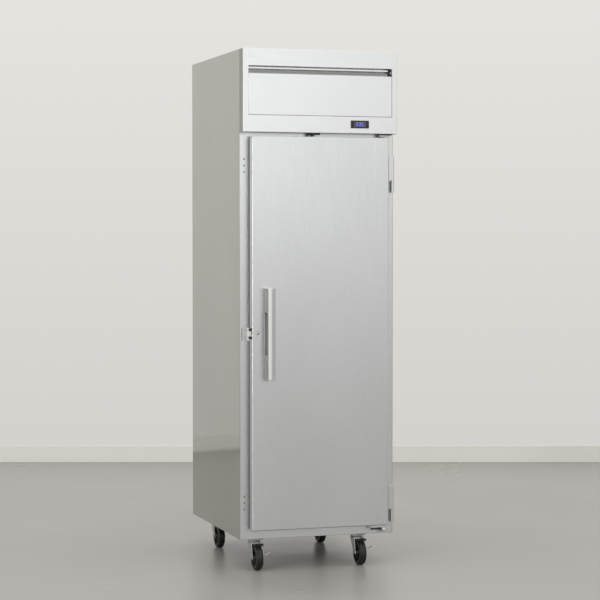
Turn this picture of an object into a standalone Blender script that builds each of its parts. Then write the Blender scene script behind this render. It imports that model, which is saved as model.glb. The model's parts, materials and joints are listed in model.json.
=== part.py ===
"""Reach-in refrigerator: one insulated door, header with a drop-front service panel, four casters.

Metres, +Z up.  The model is laid out in a cabinet frame (x across, y back from the face-frame
plane, z up from the floor) that hangs on one empty, so the box of the whole object is centred
on the origin and stands on z = 0.
"""
import math

import bmesh
import bpy
from mathutils import Matrix, Vector

MM = 0.001

# Driving dimensions
CAB_WIDTH = 673 * MM
CAB_DEPTH = 781 * MM
CAB_BOTTOM = 127 * MM
CAB_TOP = 2156 * MM
INSULATED_TOP = 1852 * MM
HOOD_BOTTOM = 1813 * MM
HOOD_OUT = 52 * MM
DOOR_WIDTH = 597 * MM
DOOR_BOTTOM = 169 * MM
DOOR_TOP = 1797 * MM
DOOR_FRONT = -55 * MM
DOOR_BACK = -22 * MM
HANDLE_OUT = 47 * MM
SHEET = 1.2 * MM
GAP = 0.3 * MM
BEYOND = 5 * MM

HALF = CAB_WIDTH / 2
DOOR_HALF = DOOR_WIDTH / 2
FACE_Y = -(CAB_DEPTH + DOOR_FRONT - HANDLE_OUT) / 2

# Cabinet opening, liner and insulation
OPENING_HALF = 286 * MM
OPENING_BOTTOM = 190 * MM
OPENING_TOP = 1791 * MM
LINER_BACK = 730 * MM
LINER_SHEET = 1.5 * MM
FRAME_SHEET = 2 * MM
FLANGE = 25 * MM
SHELF_LEVELS = {"shelf_lower": 500 * MM, "shelf_middle": 850 * MM, "shelf_upper": 1200 * MM}
SHELF_THICK = 10 * MM
SHELF_HALF = 278 * MM

# Header window
WINDOW_HALF = 313.2 * MM
WINDOW_BOTTOM = 1882.8 * MM
WINDOW_TOP = 2085.3 * MM
PANEL_TOP = 2053.4 * MM
PANEL_DEPTH = 14 * MM
CONTROLLER_AT = Vector((170 * MM, -HOOD_OUT, 1851.2 * MM))

# Door hardware
HINGE_AXIS = Vector((321 * MM, -35 * MM, 0))
KNUCKLE_RADIUS = 7.5 * MM
HINGE_PIN_RADIUS = 3.5 * MM
HINGE_BORE_RADIUS = 4 * MM
HINGES = {"top": (1570 * MM, 1618 * MM, 1719 * MM), "bottom": (178 * MM, 233 * MM, 334 * MM)}
STILE_HOLES = (1703.8, 1677.1, 1650.3, 305.7, 280.7, 253.7)
LOCK_AT = Vector((-273.4 * MM, DOOR_FRONT, 984.4 * MM))
BOLT_Y = -40 * MM
HANDLE_BOTTOM = 794 * MM
HANDLE_TOP = 1171.5 * MM
HANDLE_WALL = 2.5 * MM

# Door stay: the arm turns on the cabinet while its pin follows a curved slot under the door
STAY_PIVOT = Vector((283 * MM, -40 * MM, 0))
STAY_PIN = Vector((233 * MM, -30 * MM, 0))
STAY_RATIO = 1.45
SLOT_HALF = 4 * MM
DOOR_SWING = math.radians(110)

# Casters: wheel centre x, plate centre y
WHEEL_RADIUS = 51 * MM
WHEEL_WIDTH = 30 * MM
CASTER_TRAIL = 42 * MM
CASTERS = {
    "front_left": (-264 * MM, 36 * MM),
    "front_right": (188 * MM, 36 * MM),
    "rear_left": (-262 * MM, 642 * MM),
    "rear_right": (211 * MM, 642 * MM),
}

for stale in list(bpy.data.objects):
    bpy.data.objects.remove(stale, do_unlink=True)

PARTS = bpy.data.collections.new("reach_in_refrigerator")
CUTTERS = bpy.data.collections.new("cutters")
for collection in (PARTS, CUTTERS):
    bpy.context.scene.collection.children.link(collection)

BASE = bpy.data.objects.new("cabinet_frame", None)
BASE.location = (0, FACE_Y, 0)
PARTS.objects.link(BASE)


def material(name, colour, roughness, metallic):
    """A plain Principled finish for one kind of stock."""
    made = bpy.data.materials.new(name)
    made.use_nodes = True
    shader = made.node_tree.nodes["Principled BSDF"]
    shader.inputs["Base Color"].default_value = (*colour, 1)
    shader.inputs["Roughness"].default_value = roughness
    shader.inputs["Metallic"].default_value = metallic
    return made


STAINLESS = material("brushed_stainless", (0.62, 0.62, 0.61), 0.32, 1)
GALVANISED = material("galvanised_steel", (0.50, 0.51, 0.52), 0.45, 1)
ANODISED = material("anodised_aluminium", (0.75, 0.75, 0.75), 0.4, 1)
LINER = material("aluminium_liner", (0.78, 0.78, 0.78), 0.35, 1)
FOAM = material("polyurethane_foam", (0.86, 0.76, 0.48), 0.9, 0)
WHITE = material("white_enamel", (0.85, 0.85, 0.84), 0.3, 0)
WIRE = material("epoxy_coated_wire", (0.72, 0.73, 0.73), 0.4, 0)
BLACK_PLASTIC = material("black_plastic", (0.02, 0.02, 0.02), 0.45, 0)
GASKET = material("grey_vinyl_gasket", (0.10, 0.10, 0.10), 0.6, 0)
FINS = material("fin_aluminium", (0.66, 0.67, 0.68), 0.4, 1)
BLACK_STEEL = material("black_painted_steel", (0.03, 0.03, 0.03), 0.4, 0)
COPPER = material("copper_tube", (0.72, 0.38, 0.24), 0.3, 1)
ZINC = material("zinc_plated_steel", (0.58, 0.59, 0.60), 0.35, 1)
TREAD = material("caster_polyurethane", (0.02, 0.02, 0.02), 0.5, 0)


def add(name, mesh, finish, origin):
    """Put a finished mesh in the model, with its origin where the piece sits or turns."""
    made = bpy.data.objects.new(name, mesh)
    made.data.transform(Matrix.Translation(-Vector(origin)))
    made.location = origin
    made.parent = BASE
    if finish is None:
        made.hide_render = True
        made.display_type = "WIRE"
        CUTTERS.objects.link(made)
    else:
        made.data.materials.append(finish)
        PARTS.objects.link(made)
    return made


def box(name, low, high, finish=None, origin=None, turn=0.0, axis="X"):
    """A rectangular block between two corners, turned about its own middle if asked."""
    low, high = Vector(low), Vector(high)
    centre, size = (low + high) / 2, high - low
    made = bmesh.new()
    place = Matrix.Translation(centre) @ Matrix.Rotation(turn, 4, axis) @ Matrix.Diagonal((*size, 1))
    bmesh.ops.create_cube(made, size=1, matrix=place)
    mesh = bpy.data.meshes.new(name)
    made.to_mesh(mesh)
    made.free()
    return add(name, mesh, finish, centre if origin is None else origin)


def disc(name, centre, radius, length, axis="Z", finish=None, origin=None, sides=24):
    """A cylinder about one of the three axes, centred on a point."""
    turn = {"X": Matrix.Rotation(math.pi / 2, 4, "Y"), "Y": Matrix.Rotation(math.pi / 2, 4, "X"),
            "Z": Matrix.Identity(4)}[axis]
    made = bmesh.new()
    bmesh.ops.create_cone(made, cap_ends=True, segments=sides, radius1=radius, radius2=radius,
                          depth=length, matrix=Matrix.Translation(centre) @ turn)
    mesh = bpy.data.meshes.new(name)
    made.to_mesh(mesh)
    made.free()
    mesh.shade_smooth()
    mesh.set_sharp_from_angle(angle=math.radians(40))
    return add(name, mesh, finish, centre if origin is None else origin)


def curve_mesh(name, curve, place, finish, origin):
    """Turn a curve into a welded mesh object."""
    shape = bpy.data.objects.new(name + "_curve", curve)
    CUTTERS.objects.link(shape)
    shape.matrix_world = place
    bpy.context.view_layer.update()
    mesh = bpy.data.meshes.new_from_object(shape.evaluated_get(bpy.context.evaluated_depsgraph_get()))
    mesh.transform(shape.matrix_world)
    bpy.data.objects.remove(shape, do_unlink=True)
    welded = bmesh.new()
    welded.from_mesh(mesh)
    bmesh.ops.remove_doubles(welded, verts=welded.verts, dist=0.00001)
    bmesh.ops.recalc_face_normals(welded, faces=welded.faces)
    welded.to_mesh(mesh)
    welded.free()
    mesh.materials.clear()
    return add(name, mesh, finish, origin)


def outline(name, points, thickness, place, finish=None, origin=(0, 0, 0)):
    """A flat closed outline, extruded both ways by half the thickness."""
    curve = bpy.data.curves.new(name, "CURVE")
    curve.dimensions = "2D"
    curve.fill_mode = "BOTH"
    curve.extrude = thickness / 2
    spline = curve.splines.new("POLY")
    spline.points.add(len(points) - 1)
    for point, (across, up) in zip(spline.points, points):
        point.co = (across, up, 0, 1)
    spline.use_cyclic_u = True
    return curve_mesh(name, curve, place, finish, origin)


def tube(name, points, radius, finish=None, origin=(0, 0, 0)):
    """A round bar along a list of points, with filled ends."""
    curve = bpy.data.curves.new(name, "CURVE")
    curve.dimensions = "3D"
    curve.bevel_depth = radius
    curve.bevel_resolution = 2
    curve.use_fill_caps = True
    spline = curve.splines.new("POLY")
    spline.points.add(len(points) - 1)
    for point, place in zip(spline.points, points):
        point.co = (*place, 1)
    return curve_mesh(name, curve, Matrix.Identity(4), finish, origin)


def cut(piece, *tools):
    combine(piece, tools, "DIFFERENCE")
    return piece


def join(piece, *tools):
    combine(piece, tools, "UNION")
    return piece


def combine(piece, tools, operation):
    for tool in tools:
        step = piece.modifiers.new(tool.name, "BOOLEAN")
        step.operation = operation
        step.object = tool
        step.solver = "EXACT"


def tray(name, low, high, wall, open_side, finish, origin=None):
    """A box of sheet that is open on one side, given as a unit vector."""
    low, high, open_side = Vector(low), Vector(high), Vector(open_side)
    inner_low, inner_high = low.copy(), high.copy()
    for i in range(3):
        inner_low[i] += -BEYOND if open_side[i] < 0 else wall
        inner_high[i] -= -BEYOND if open_side[i] > 0 else wall
    return cut(box(name, low, high, finish, origin), box(name + "_hollow", inner_low, inner_high))


def side_panels():
    """Outer side skins, each with flanges turned in at the top, bottom and back."""
    for name, side in (("side_panel_left", -1), ("side_panel_right", 1)):
        outer, skin, lip = side * HALF, side * (HALF - SHEET), side * (HALF - FLANGE - BEYOND)
        low_x, high_x = sorted((outer, side * (HALF - FLANGE)))
        panel = box(name, (low_x, 0, CAB_BOTTOM), (high_x, CAB_DEPTH, CAB_TOP), STAINLESS)
        low_x, high_x = sorted((skin, lip))
        cut(panel, box(name + "_hollow", (low_x, -BEYOND, CAB_BOTTOM + SHEET),
                       (high_x, CAB_DEPTH - SHEET, CAB_TOP - SHEET)))


def cabinet_shell():
    """Back skin, base tray, deck over the insulation, and the frame round the door opening."""
    skin = HALF - SHEET - GAP
    between = HALF - FLANGE - GAP
    box("back_panel", (-between, CAB_DEPTH - SHEET, CAB_BOTTOM), (between, CAB_DEPTH, CAB_TOP),
        GALVANISED)
    tray("base_pan", (-between, FRAME_SHEET + GAP, CAB_BOTTOM),
         (between, CAB_DEPTH - SHEET - GAP, CAB_BOTTOM + 20 * MM), SHEET, (0, 0, 1), GALVANISED)
    box("top_deck", (-skin, FRAME_SHEET + GAP, INSULATED_TOP), (skin, CAB_DEPTH - SHEET - GAP,
        INSULATED_TOP + SHEET), GALVANISED)
    frame = box("face_frame", (-skin, 0, CAB_BOTTOM + SHEET + GAP), (skin, FRAME_SHEET, INSULATED_TOP),
                STAINLESS)
    cut(frame, box("opening", (-OPENING_HALF - GAP, -BEYOND, OPENING_BOTTOM - GAP),
                   (OPENING_HALF + GAP, BEYOND, OPENING_TOP + GAP)))
    for number, height in enumerate(STILE_HOLES):
        hole = disc(f"stile_hole_{number}", (-317 * MM, 0, height * MM), 3 * MM, 2 * BEYOND, "Y",
                    sides=12)
        cut(frame, hole)


def insulation_and_liner():
    """Foam block between the skins, and the formed liner it holds."""
    skin = HALF - SHEET - GAP
    foam = box("cabinet_foam", (-skin, FRAME_SHEET + GAP, CAB_BOTTOM + 20 * MM + GAP),
               (skin, CAB_DEPTH - SHEET - GAP, INSULATED_TOP - GAP), FOAM)
    cut(foam, box("foam_hollow", (-OPENING_HALF - GAP, -BEYOND, OPENING_BOTTOM - GAP),
                  (OPENING_HALF + GAP, LINER_BACK + GAP, OPENING_TOP + GAP)))
    tray("inner_liner", (-OPENING_HALF, 0, OPENING_BOTTOM), (OPENING_HALF, LINER_BACK, OPENING_TOP),
         LINER_SHEET, (0, -1, 0), LINER)


def shelves():
    """Wire shelves: a flat grid with slots between its bars."""
    front, back = 40 * MM, 690 * MM
    rim, slots = 9 * MM, 9
    pitch = (2 * SHELF_HALF - rim) / slots
    for name, level in SHELF_LEVELS.items():
        shelf = box(name, (-SHELF_HALF, front, level), (SHELF_HALF, back, level + SHELF_THICK), WIRE)
        for slot in range(slots):
            left = -SHELF_HALF + rim + slot * pitch
            cut(shelf, box(f"{name}_slot_{slot}", (left, front + rim, level - BEYOND),
                           (left + pitch - rim, back - rim, level + SHELF_THICK + BEYOND)))


def fan(name, centre, radius, finish, blades=5):
    """An axial fan about the y axis: a hub and pitched blades."""
    centre = Vector(centre)
    hub_radius, hub_length = 0.26 * radius, 22 * MM
    rotor = disc(name, centre, hub_radius, hub_length, "Y", finish, origin=centre)
    for blade in range(blades):
        turn = Matrix.Rotation(2 * math.pi * blade / blades, 4, "Y")
        reach = radius - 0.8 * hub_radius
        middle = turn @ Vector((0.8 * hub_radius + reach / 2, 0, 0))
        made = bmesh.new()
        place = (Matrix.Translation(centre + middle) @ turn @ Matrix.Rotation(math.radians(28), 4, "X")
                 @ Matrix.Diagonal((reach, 2 * MM, 0.55 * radius, 1)))
        bmesh.ops.create_cube(made, size=1, matrix=place)
        mesh = bpy.data.meshes.new(f"{name}_blade_{blade}")
        made.to_mesh(mesh)
        made.free()
        join(rotor, add(f"{name}_blade_{blade}", mesh, None, centre))
    return rotor


def cooling_inside():
    """Evaporator cover on the ceiling with its fan, coil and the lamp in front of it."""
    ceiling = OPENING_TOP - LINER_SHEET - GAP
    front, back, bottom, fan_z = 60 * MM, 700 * MM, 1620 * MM, 1705 * MM
    cover = tray("evaporator_cover", (-270 * MM, front, bottom), (270 * MM, back, ceiling), SHEET,
                 (0, 0, 1), LINER)
    cut(cover, disc("fan_opening", (0, front, fan_z), 76 * MM, 4 * BEYOND, "Y", sides=32),
        box("air_outlet", (-220 * MM, back - BEYOND, 1660 * MM), (220 * MM, back + BEYOND, 1760 * MM)))
    motor = disc("evaporator_motor", (0, 120 * MM, fan_z), 30 * MM, 50 * MM, "Y")
    arm = box("evaporator_motor_arm", (-10 * MM, 105 * MM, bottom + SHEET / 2),
              (10 * MM, 115 * MM, fan_z))
    join(cover, arm, motor)
    fan("evaporator_fan", (0, front + 16 * MM, fan_z), 72 * MM, BLACK_PLASTIC)
    box("evaporator_coil", (-240 * MM, 220 * MM, 1640 * MM), (240 * MM, 560 * MM, 1770 * MM), FINS)
    box("interior_lamp", (-200 * MM, 16 * MM, ceiling - 13 * MM), (200 * MM, 46 * MM, ceiling), WHITE)


def header():
    """Front hood over the machine compartment, its slot grille and the drop-front panel."""
    front = -HOOD_OUT
    hood = tray("header_hood", (-HALF, front, HOOD_BOTTOM), (HALF, -GAP, CAB_TOP), SHEET, (0, 1, 0),
                STAINLESS)
    cut(hood, box("hood_window", (-WINDOW_HALF, front - BEYOND, WINDOW_BOTTOM),
                  (WINDOW_HALF, front + 2 * BEYOND, WINDOW_TOP)))
    reach = Vector((36.5 * MM, BEYOND, 13.2 * MM))
    cut(hood, box("controller_hole", CONTROLLER_AT - reach, CONTROLLER_AT + reach))

    panel_half = WINDOW_HALF - 0.6 * MM
    tray("service_panel", (-panel_half, front, WINDOW_BOTTOM + 0.6 * MM),
         (panel_half, front + PANEL_DEPTH, PANEL_TOP), SHEET, (0, 1, 0), STAINLESS,
         origin=(0, front + 1 * MM, WINDOW_BOTTOM + 2 * MM))

    left, right = -WINDOW_HALF + 0.5 * MM, 294.5 * MM
    end = 2 * MM
    low, high = PANEL_TOP + 1 * MM, WINDOW_TOP - 0.5 * MM
    grille = box("louvre_grille", (left, front + 5 * MM, low), (left + end, front + 26 * MM, high),
                 ANODISED)
    join(grille,
         box("louvre_lower", (left, front + 8 * MM, low), (right, front + 22 * MM, low + 10.5 * MM)),
         box("louvre_upper", (left, front + 6 * MM, low + 18 * MM), (right, front + 22 * MM,
             low + 24 * MM)),
         box("louvre_end", (right - end, front + 5 * MM, low), (right, front + 26 * MM, high)))


def controller():
    """Temperature controller: housing through the hood with a bezel, and its four keys."""
    x, y, z = CONTROLLER_AT
    body = box("controller", (x - 39.5 * MM, y - 3.3 * MM, z - 16 * MM),
               (x + 39.5 * MM, y - GAP, z + 16 * MM), BLACK_PLASTIC)
    join(body, box("controller_body", (x - 36 * MM, y - 2 * MM, z - 12.7 * MM),
                   (x + 36 * MM, y + 44 * MM, z + 12.7 * MM)))
    for number, (across, up) in enumerate(((-33, 7.5), (-33, -7.5), (33, 7.5), (33, -7.5)), 1):
        key_x, key_z = x + across * MM, z + up * MM
        cut(body, box(f"key_pocket_{number}", (key_x - 4.8 * MM, y - 2 * BEYOND, key_z - 3.8 * MM),
                      (key_x + 4.8 * MM, y - 0.8 * MM, key_z + 3.8 * MM)))
        box(f"controller_key_{number}", (key_x - 4.4 * MM, y - 3.9 * MM, key_z - 3.4 * MM),
            (key_x + 4.4 * MM, y - 2.1 * MM, key_z + 3.4 * MM), BLACK_PLASTIC)


def condensing_unit():
    """Compressor, condenser with its shroud and fan, control box and the line between them."""
    deck = INSULATED_TOP + SHEET + GAP
    radius, height = 80 * MM, 175 * MM
    centre = Vector((180 * MM, 300 * MM, deck))
    profile = ((0, height), (0.5 * radius, 0.97 * height), (0.85 * radius, 0.84 * height),
               (radius, 0.62 * height), (radius, 0.25 * height), (0.86 * radius, 0.08 * height),
               (0.7 * radius, 0), (0, 0))
    mesh = bpy.data.meshes.new("compressor")
    mesh.from_pydata([(across, 0, up) for across, up in profile],
                     [(i, i + 1) for i in range(len(profile) - 1)], [])
    body = add("compressor", mesh, BLACK_STEEL, (0, 0, 0))
    body.location = centre
    screw = body.modifiers.new("turn", "SCREW")
    screw.steps = screw.render_steps = 28
    screw.use_merge_vertices = True
    screw.merge_threshold = 0.0001
    screw.use_smooth_shade = True

    front, coil_back, low, high = 20 * MM, 62 * MM, deck + 12 * MM, 2120 * MM
    box("condenser_coil", (-290 * MM, front, low), (50 * MM, coil_back, high), FINS)
    shroud_back = 130 * MM
    fan_centre = Vector((-120 * MM, 108 * MM, (low + high) / 2))
    shroud = tray("condenser_shroud", (-290 * MM, coil_back + GAP, low),
                  (50 * MM, shroud_back, high), SHEET, (0, -1, 0), GALVANISED)
    cut(shroud, disc("shroud_opening", (fan_centre.x, shroud_back, fan_centre.z), 112 * MM,
                     4 * BEYOND, "Y", sides=40))
    arm = box("motor_arm", (fan_centre.x - 125 * MM, 142 * MM, fan_centre.z - 8 * MM),
              (fan_centre.x + 125 * MM, 146 * MM, fan_centre.z + 8 * MM))
    feet = [box(f"motor_foot_{side}", (fan_centre.x + side * 120 * MM - 5 * MM,
                shroud_back - SHEET / 2, fan_centre.z - 8 * MM),
                (fan_centre.x + side * 120 * MM + 5 * MM, 146 * MM, fan_centre.z + 8 * MM))
            for side in (-1, 1)]
    join(shroud, arm, *feet, disc("condenser_motor", (fan_centre.x, 162 * MM, fan_centre.z),
                                  38 * MM, 50 * MM, "Y"))
    fan("condenser_fan", fan_centre, 106 * MM, BLACK_PLASTIC)

    case = box("control_box", (110 * MM, 20 * MM, deck), (290 * MM, 130 * MM, deck + 120 * MM),
               GALVANISED)
    join(case, disc("cord_gland", (250 * MM, 138 * MM, deck + 40 * MM), 9 * MM, 20 * MM, "Y"))

    bend, steps = 20 * MM, 5
    start = centre + Vector((-radius - 4 * MM, 0, 0.5 * height))
    route = [start, start + Vector((-10 * MM, 0, 0))]
    corner = route[-1] + Vector((0, 0, bend))
    for step in range(1, steps + 1):
        angle = math.pi / 2 * step / steps
        route.append(corner + bend * Vector((-math.sin(angle), 0, -math.cos(angle))))
    route.append(route[-1] + Vector((0, 0, 90 * MM)))
    corner = route[-1] + Vector((0, -bend, 0))
    for step in range(1, steps + 1):
        angle = math.pi / 2 * step / steps
        route.append(corner + bend * Vector((0, math.cos(angle), math.sin(angle))))
    route.append(Vector((route[-1].x, coil_back - 10 * MM, route[-1].z)))
    route.append(Vector((56 * MM, coil_back - 20 * MM, route[-1].z)))
    tube("refrigerant_line", route, 5 * MM, COPPER)


def door():
    """Door: folded skin, foam, inner pan and the gasket that meets the face frame."""
    pan_back, gasket_back = -15.3 * MM, -0.6 * MM
    x, z = LOCK_AT.x, LOCK_AT.z
    pivot = HINGE_AXIS
    skin = tray("door_skin", (-DOOR_HALF, DOOR_FRONT, DOOR_BOTTOM), (DOOR_HALF, DOOR_BACK, DOOR_TOP),
                SHEET, (0, 1, 0), STAINLESS, origin=pivot)
    cut(skin, disc("cylinder_hole", (x, DOOR_FRONT, z), 10 * MM, 4 * BEYOND, "Y"),
        box("bolt_hole", (-DOOR_HALF - BEYOND, BOLT_Y - 6 * MM, z - 6 * MM),
            (-DOOR_HALF + BEYOND, BOLT_Y + 6 * MM, z + 6 * MM)))
    inset = SHEET + GAP
    foam = box("door_foam", (-DOOR_HALF + inset, DOOR_FRONT + inset, DOOR_BOTTOM + inset),
               (DOOR_HALF - inset, DOOR_BACK - GAP, DOOR_TOP - inset), FOAM, origin=pivot)
    cut(foam, box("lock_pocket", (-DOOR_HALF - BEYOND, DOOR_FRONT - BEYOND, z - 16 * MM),
                  (x + 16 * MM, -25 * MM, z + 16 * MM)))
    pan = box("door_pan", (-296 * MM, DOOR_BACK + GAP, 171 * MM), (296 * MM, pan_back, 1795 * MM),
              LINER, origin=pivot)
    join(pan, box("pan_rise", (-258 * MM, pan_back - 2 * MM, 215 * MM), (258 * MM, -5 * MM,
                  1764 * MM)))
    gasket = box("door_gasket", (-296 * MM, pan_back + GAP, 171 * MM), (296 * MM, gasket_back,
                 1795 * MM), GASKET, origin=pivot)
    cut(gasket, box("gasket_hollow", (-272 * MM, pan_back - BEYOND, 200 * MM), (272 * MM, BEYOND,
                    1777 * MM)))


def door_lock():
    """Lock case inside the door edge, the cylinder that turns and the bolt that it throws."""
    x, z = LOCK_AT.x, LOCK_AT.z
    left, right = -DOOR_HALF + SHEET + GAP, x + 15 * MM
    case = box("lock_body", (left, DOOR_FRONT + SHEET + GAP, z - 15 * MM), (right, -26 * MM,
               z + 15 * MM), ZINC, origin=HINGE_AXIS)
    cut(case, disc("cylinder_bore", (x, DOOR_FRONT, z), 9.5 * MM, 17 * MM, "Y"),
        box("bolt_way", (left - BEYOND, BOLT_Y - 5.6 * MM, z - 5.6 * MM),
            (right - 4 * MM, BOLT_Y + 5.6 * MM, z + 5.6 * MM)))
    plug_front, plug_back = DOOR_FRONT - 2.5 * MM, DOOR_FRONT + 8 * MM
    plug = disc("lock_cylinder", (x, (plug_front + plug_back) / 2, z), 9 * MM, plug_back - plug_front,
                "Y", ZINC, origin=(x, DOOR_FRONT, z), sides=32)
    cut(plug, box("keyway", (x - 1.2 * MM, plug_front - BEYOND, z - 4 * MM),
                  (x + 1.2 * MM, plug_front + 5 * MM, z + 4 * MM)))
    box("lock_bolt", (-DOOR_HALF + 0.6 * MM, BOLT_Y - 5 * MM, z - 5 * MM),
        (x + 8 * MM, BOLT_Y + 5 * MM, z + 5 * MM), ZINC)


def strike():
    """Bent strike on the left stile, with a tongue that the bolt passes through."""
    low, high = 954 * MM, 1008 * MM
    plate = box("strike_bracket", (-327.6 * MM, -2.3 * MM, low), (-303 * MM, -GAP, high), STAINLESS)
    join(plate, box("strike_flange", (-305 * MM, -20 * MM, low), (-303 * MM, -1 * MM, high)),
         box("strike_tongue", (-305 * MM, -58 * MM, 975 * MM), (-303 * MM, -19 * MM, 994 * MM)))
    z = LOCK_AT.z
    cut(plate, box("tongue_hole", (-310 * MM, BOLT_Y - 6 * MM, z - 6 * MM),
                   (-298 * MM, BOLT_Y + 6 * MM, z + 6 * MM)))


def handle():
    """Pressed pull: two webs and a narrow front, with a finger window in the left web."""
    base, front = DOOR_FRONT - GAP, DOOR_FRONT - HANDLE_OUT
    section = ((-250, base / MM), (-243, front / MM), (-226.3, front / MM), (-198, base / MM))
    hollow = ((-247, base / MM + 5), (-240.5, front / MM + 2.5), (-228, front / MM + 2.5),
              (-203, base / MM + 5))
    upright = Matrix.Translation((0, 0, (HANDLE_BOTTOM + HANDLE_TOP) / 2))
    length = HANDLE_TOP - HANDLE_BOTTOM
    pull = outline("handle", [(across * MM, deep * MM) for across, deep in section], length, upright,
                   ANODISED, HINGE_AXIS)
    core = outline("handle_hollow", [(across * MM, deep * MM) for across, deep in hollow],
                   length - 2 * HANDLE_WALL, upright)
    cut(pull, core, box("finger_window", (-262 * MM, front + 8 * MM, 899.5 * MM),
                        (-238 * MM, base - 6 * MM, 1073 * MM)))


def hinge(where):
    """Edge hinge: cabinet leaf with the lower knuckle and pin, door leaf with the upper one."""
    low, split, high = HINGES[where]
    x, y, _ = HINGE_AXIS
    sides = 24
    leaf = box(f"hinge_{where}_cabinet", (304 * MM, -3.3 * MM, low), (334.5 * MM, -GAP, high),
               STAINLESS)
    join(leaf,
         box(f"hinge_{where}_web", (x - 5 * MM, y, low), (x + 5 * MM, -2 * MM, split - 1 * MM)),
         disc(f"hinge_{where}_lower", (x, y, (low + split - 1 * MM) / 2), KNUCKLE_RADIUS,
              split - 1 * MM - low, sides=sides),
         disc(f"hinge_{where}_pin", (x, y, split + 28 * MM), HINGE_PIN_RADIUS, 62 * MM, sides=16))
    wing = disc(f"hinge_{where}_door", (x, y, (split + high) / 2), KNUCKLE_RADIUS, high - split,
                finish=STAINLESS, origin=HINGE_AXIS, sides=sides)
    edge = DOOR_HALF + GAP
    join(wing, box(f"hinge_{where}_arm", (edge, y - 7 * MM, split), (x - 2 * MM, y + 2 * MM, high)),
         box(f"hinge_{where}_foot", (edge, -53 * MM, split), (edge + 3 * MM, -24 * MM, high)))
    cut(wing, disc(f"hinge_{where}_bore", (x, y, split + 25 * MM), HINGE_BORE_RADIUS, 80 * MM,
                   sides=16))
    return wing


def stay_track(wing):
    """Slotted track under the door, reached by a strip from the bottom hinge's door leaf."""
    edge, top, bottom = DOOR_HALF + GAP, DOOR_BOTTOM - GAP, DOOR_BOTTOM - 8 * MM
    split = HINGES["bottom"][1]
    join(wing,
         box("track_strip", (edge, -52 * MM, bottom), (edge + 2 * MM, -26 * MM, split + 5 * MM)),
         box("track_plate", (220 * MM, -52 * MM, bottom), (edge + 2 * MM, -9 * MM, top)))
    steps = 24
    arm = (STAY_PIN - STAY_PIVOT).to_2d()
    offset = (STAY_PIVOT - HINGE_AXIS).to_2d()

    def pin_place(step):
        """Where the arm's pin is, seen from the door, after this share of the swing."""
        swing = DOOR_SWING * step / steps
        turned = offset + Matrix.Rotation(STAY_RATIO * swing, 2) @ arm
        return HINGE_AXIS.to_2d() + Matrix.Rotation(-swing, 2) @ turned

    near, far = [], []
    for step in range(steps + 1):
        along = (pin_place(step + 0.5) - pin_place(step - 0.5)).normalized()
        past_end = {0: -SLOT_HALF, steps: SLOT_HALF}.get(step, 0)
        place = pin_place(step) + past_end * along
        aside = SLOT_HALF * Vector((-along.y, along.x))
        near.append(place + aside)
        far.append(place - aside)
    level = Matrix.Translation((0, 0, (bottom + top) / 2))
    cut(wing, outline("track_slot", near + far[::-1], top - bottom + 2 * MM, level))


def door_stay():
    """Stay bracket on the sill and the arm that turns on it."""
    x, y, _ = STAY_PIVOT
    bracket = box("stay_bracket", (270 * MM, -2.8 * MM, 133 * MM), (302 * MM, -GAP, 160 * MM), ZINC)
    join(bracket,
         box("stay_shelf", (x - 9 * MM, y - 9 * MM, 143 * MM), (x + 12 * MM, -2 * MM, 147 * MM)),
         disc("stay_stud", (x, y, 151 * MM), 4 * MM, 12 * MM, sides=16),
         disc("stay_stud_head", (x, y, 157.5 * MM), 7 * MM, 3 * MM, sides=20))
    centre = (STAY_PIVOT + STAY_PIN) / 2
    reach = STAY_PIN - STAY_PIVOT
    low, high = 149 * MM, 154 * MM
    length = reach.length
    angle = math.atan2(reach.y, reach.x)
    bar = box("stay_arm", (centre.x - length / 2, centre.y - 6 * MM, low),
              (centre.x + length / 2, centre.y + 6 * MM, high), BLACK_STEEL, turn=angle, axis="Z",
              origin=STAY_PIVOT)
    middle = (low + high) / 2
    join(bar, disc("stay_arm_eye", (x, y, middle), 8 * MM, high - low, sides=20),
         disc("stay_arm_toe", (STAY_PIN.x, STAY_PIN.y, middle), 6 * MM, high - low, sides=20),
         disc("stay_arm_pin", (STAY_PIN.x, STAY_PIN.y, 158 * MM), 3 * MM, 14 * MM, sides=12))
    cut(bar, disc("stay_arm_hole", (x, y, middle), 4.5 * MM, 4 * BEYOND, sides=16))


def door_switch():
    """Lamp switch under the hood, with a plunger over the door's top edge."""
    high = HOOD_BOTTOM - GAP
    body = box("door_switch", (-44 * MM, -46 * MM, 1805.5 * MM), (-1 * MM, -24 * MM, high),
               BLACK_PLASTIC)
    cut(body, box("plunger_way", (-42 * MM, -43 * MM, 1800 * MM), (-28 * MM, -27 * MM, high - 1 * MM)))
    box("switch_plunger", (-41.4 * MM, -42.4 * MM, 1799 * MM), (-28.6 * MM, -27.6 * MM, 1808 * MM),
        BLACK_PLASTIC)


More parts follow.
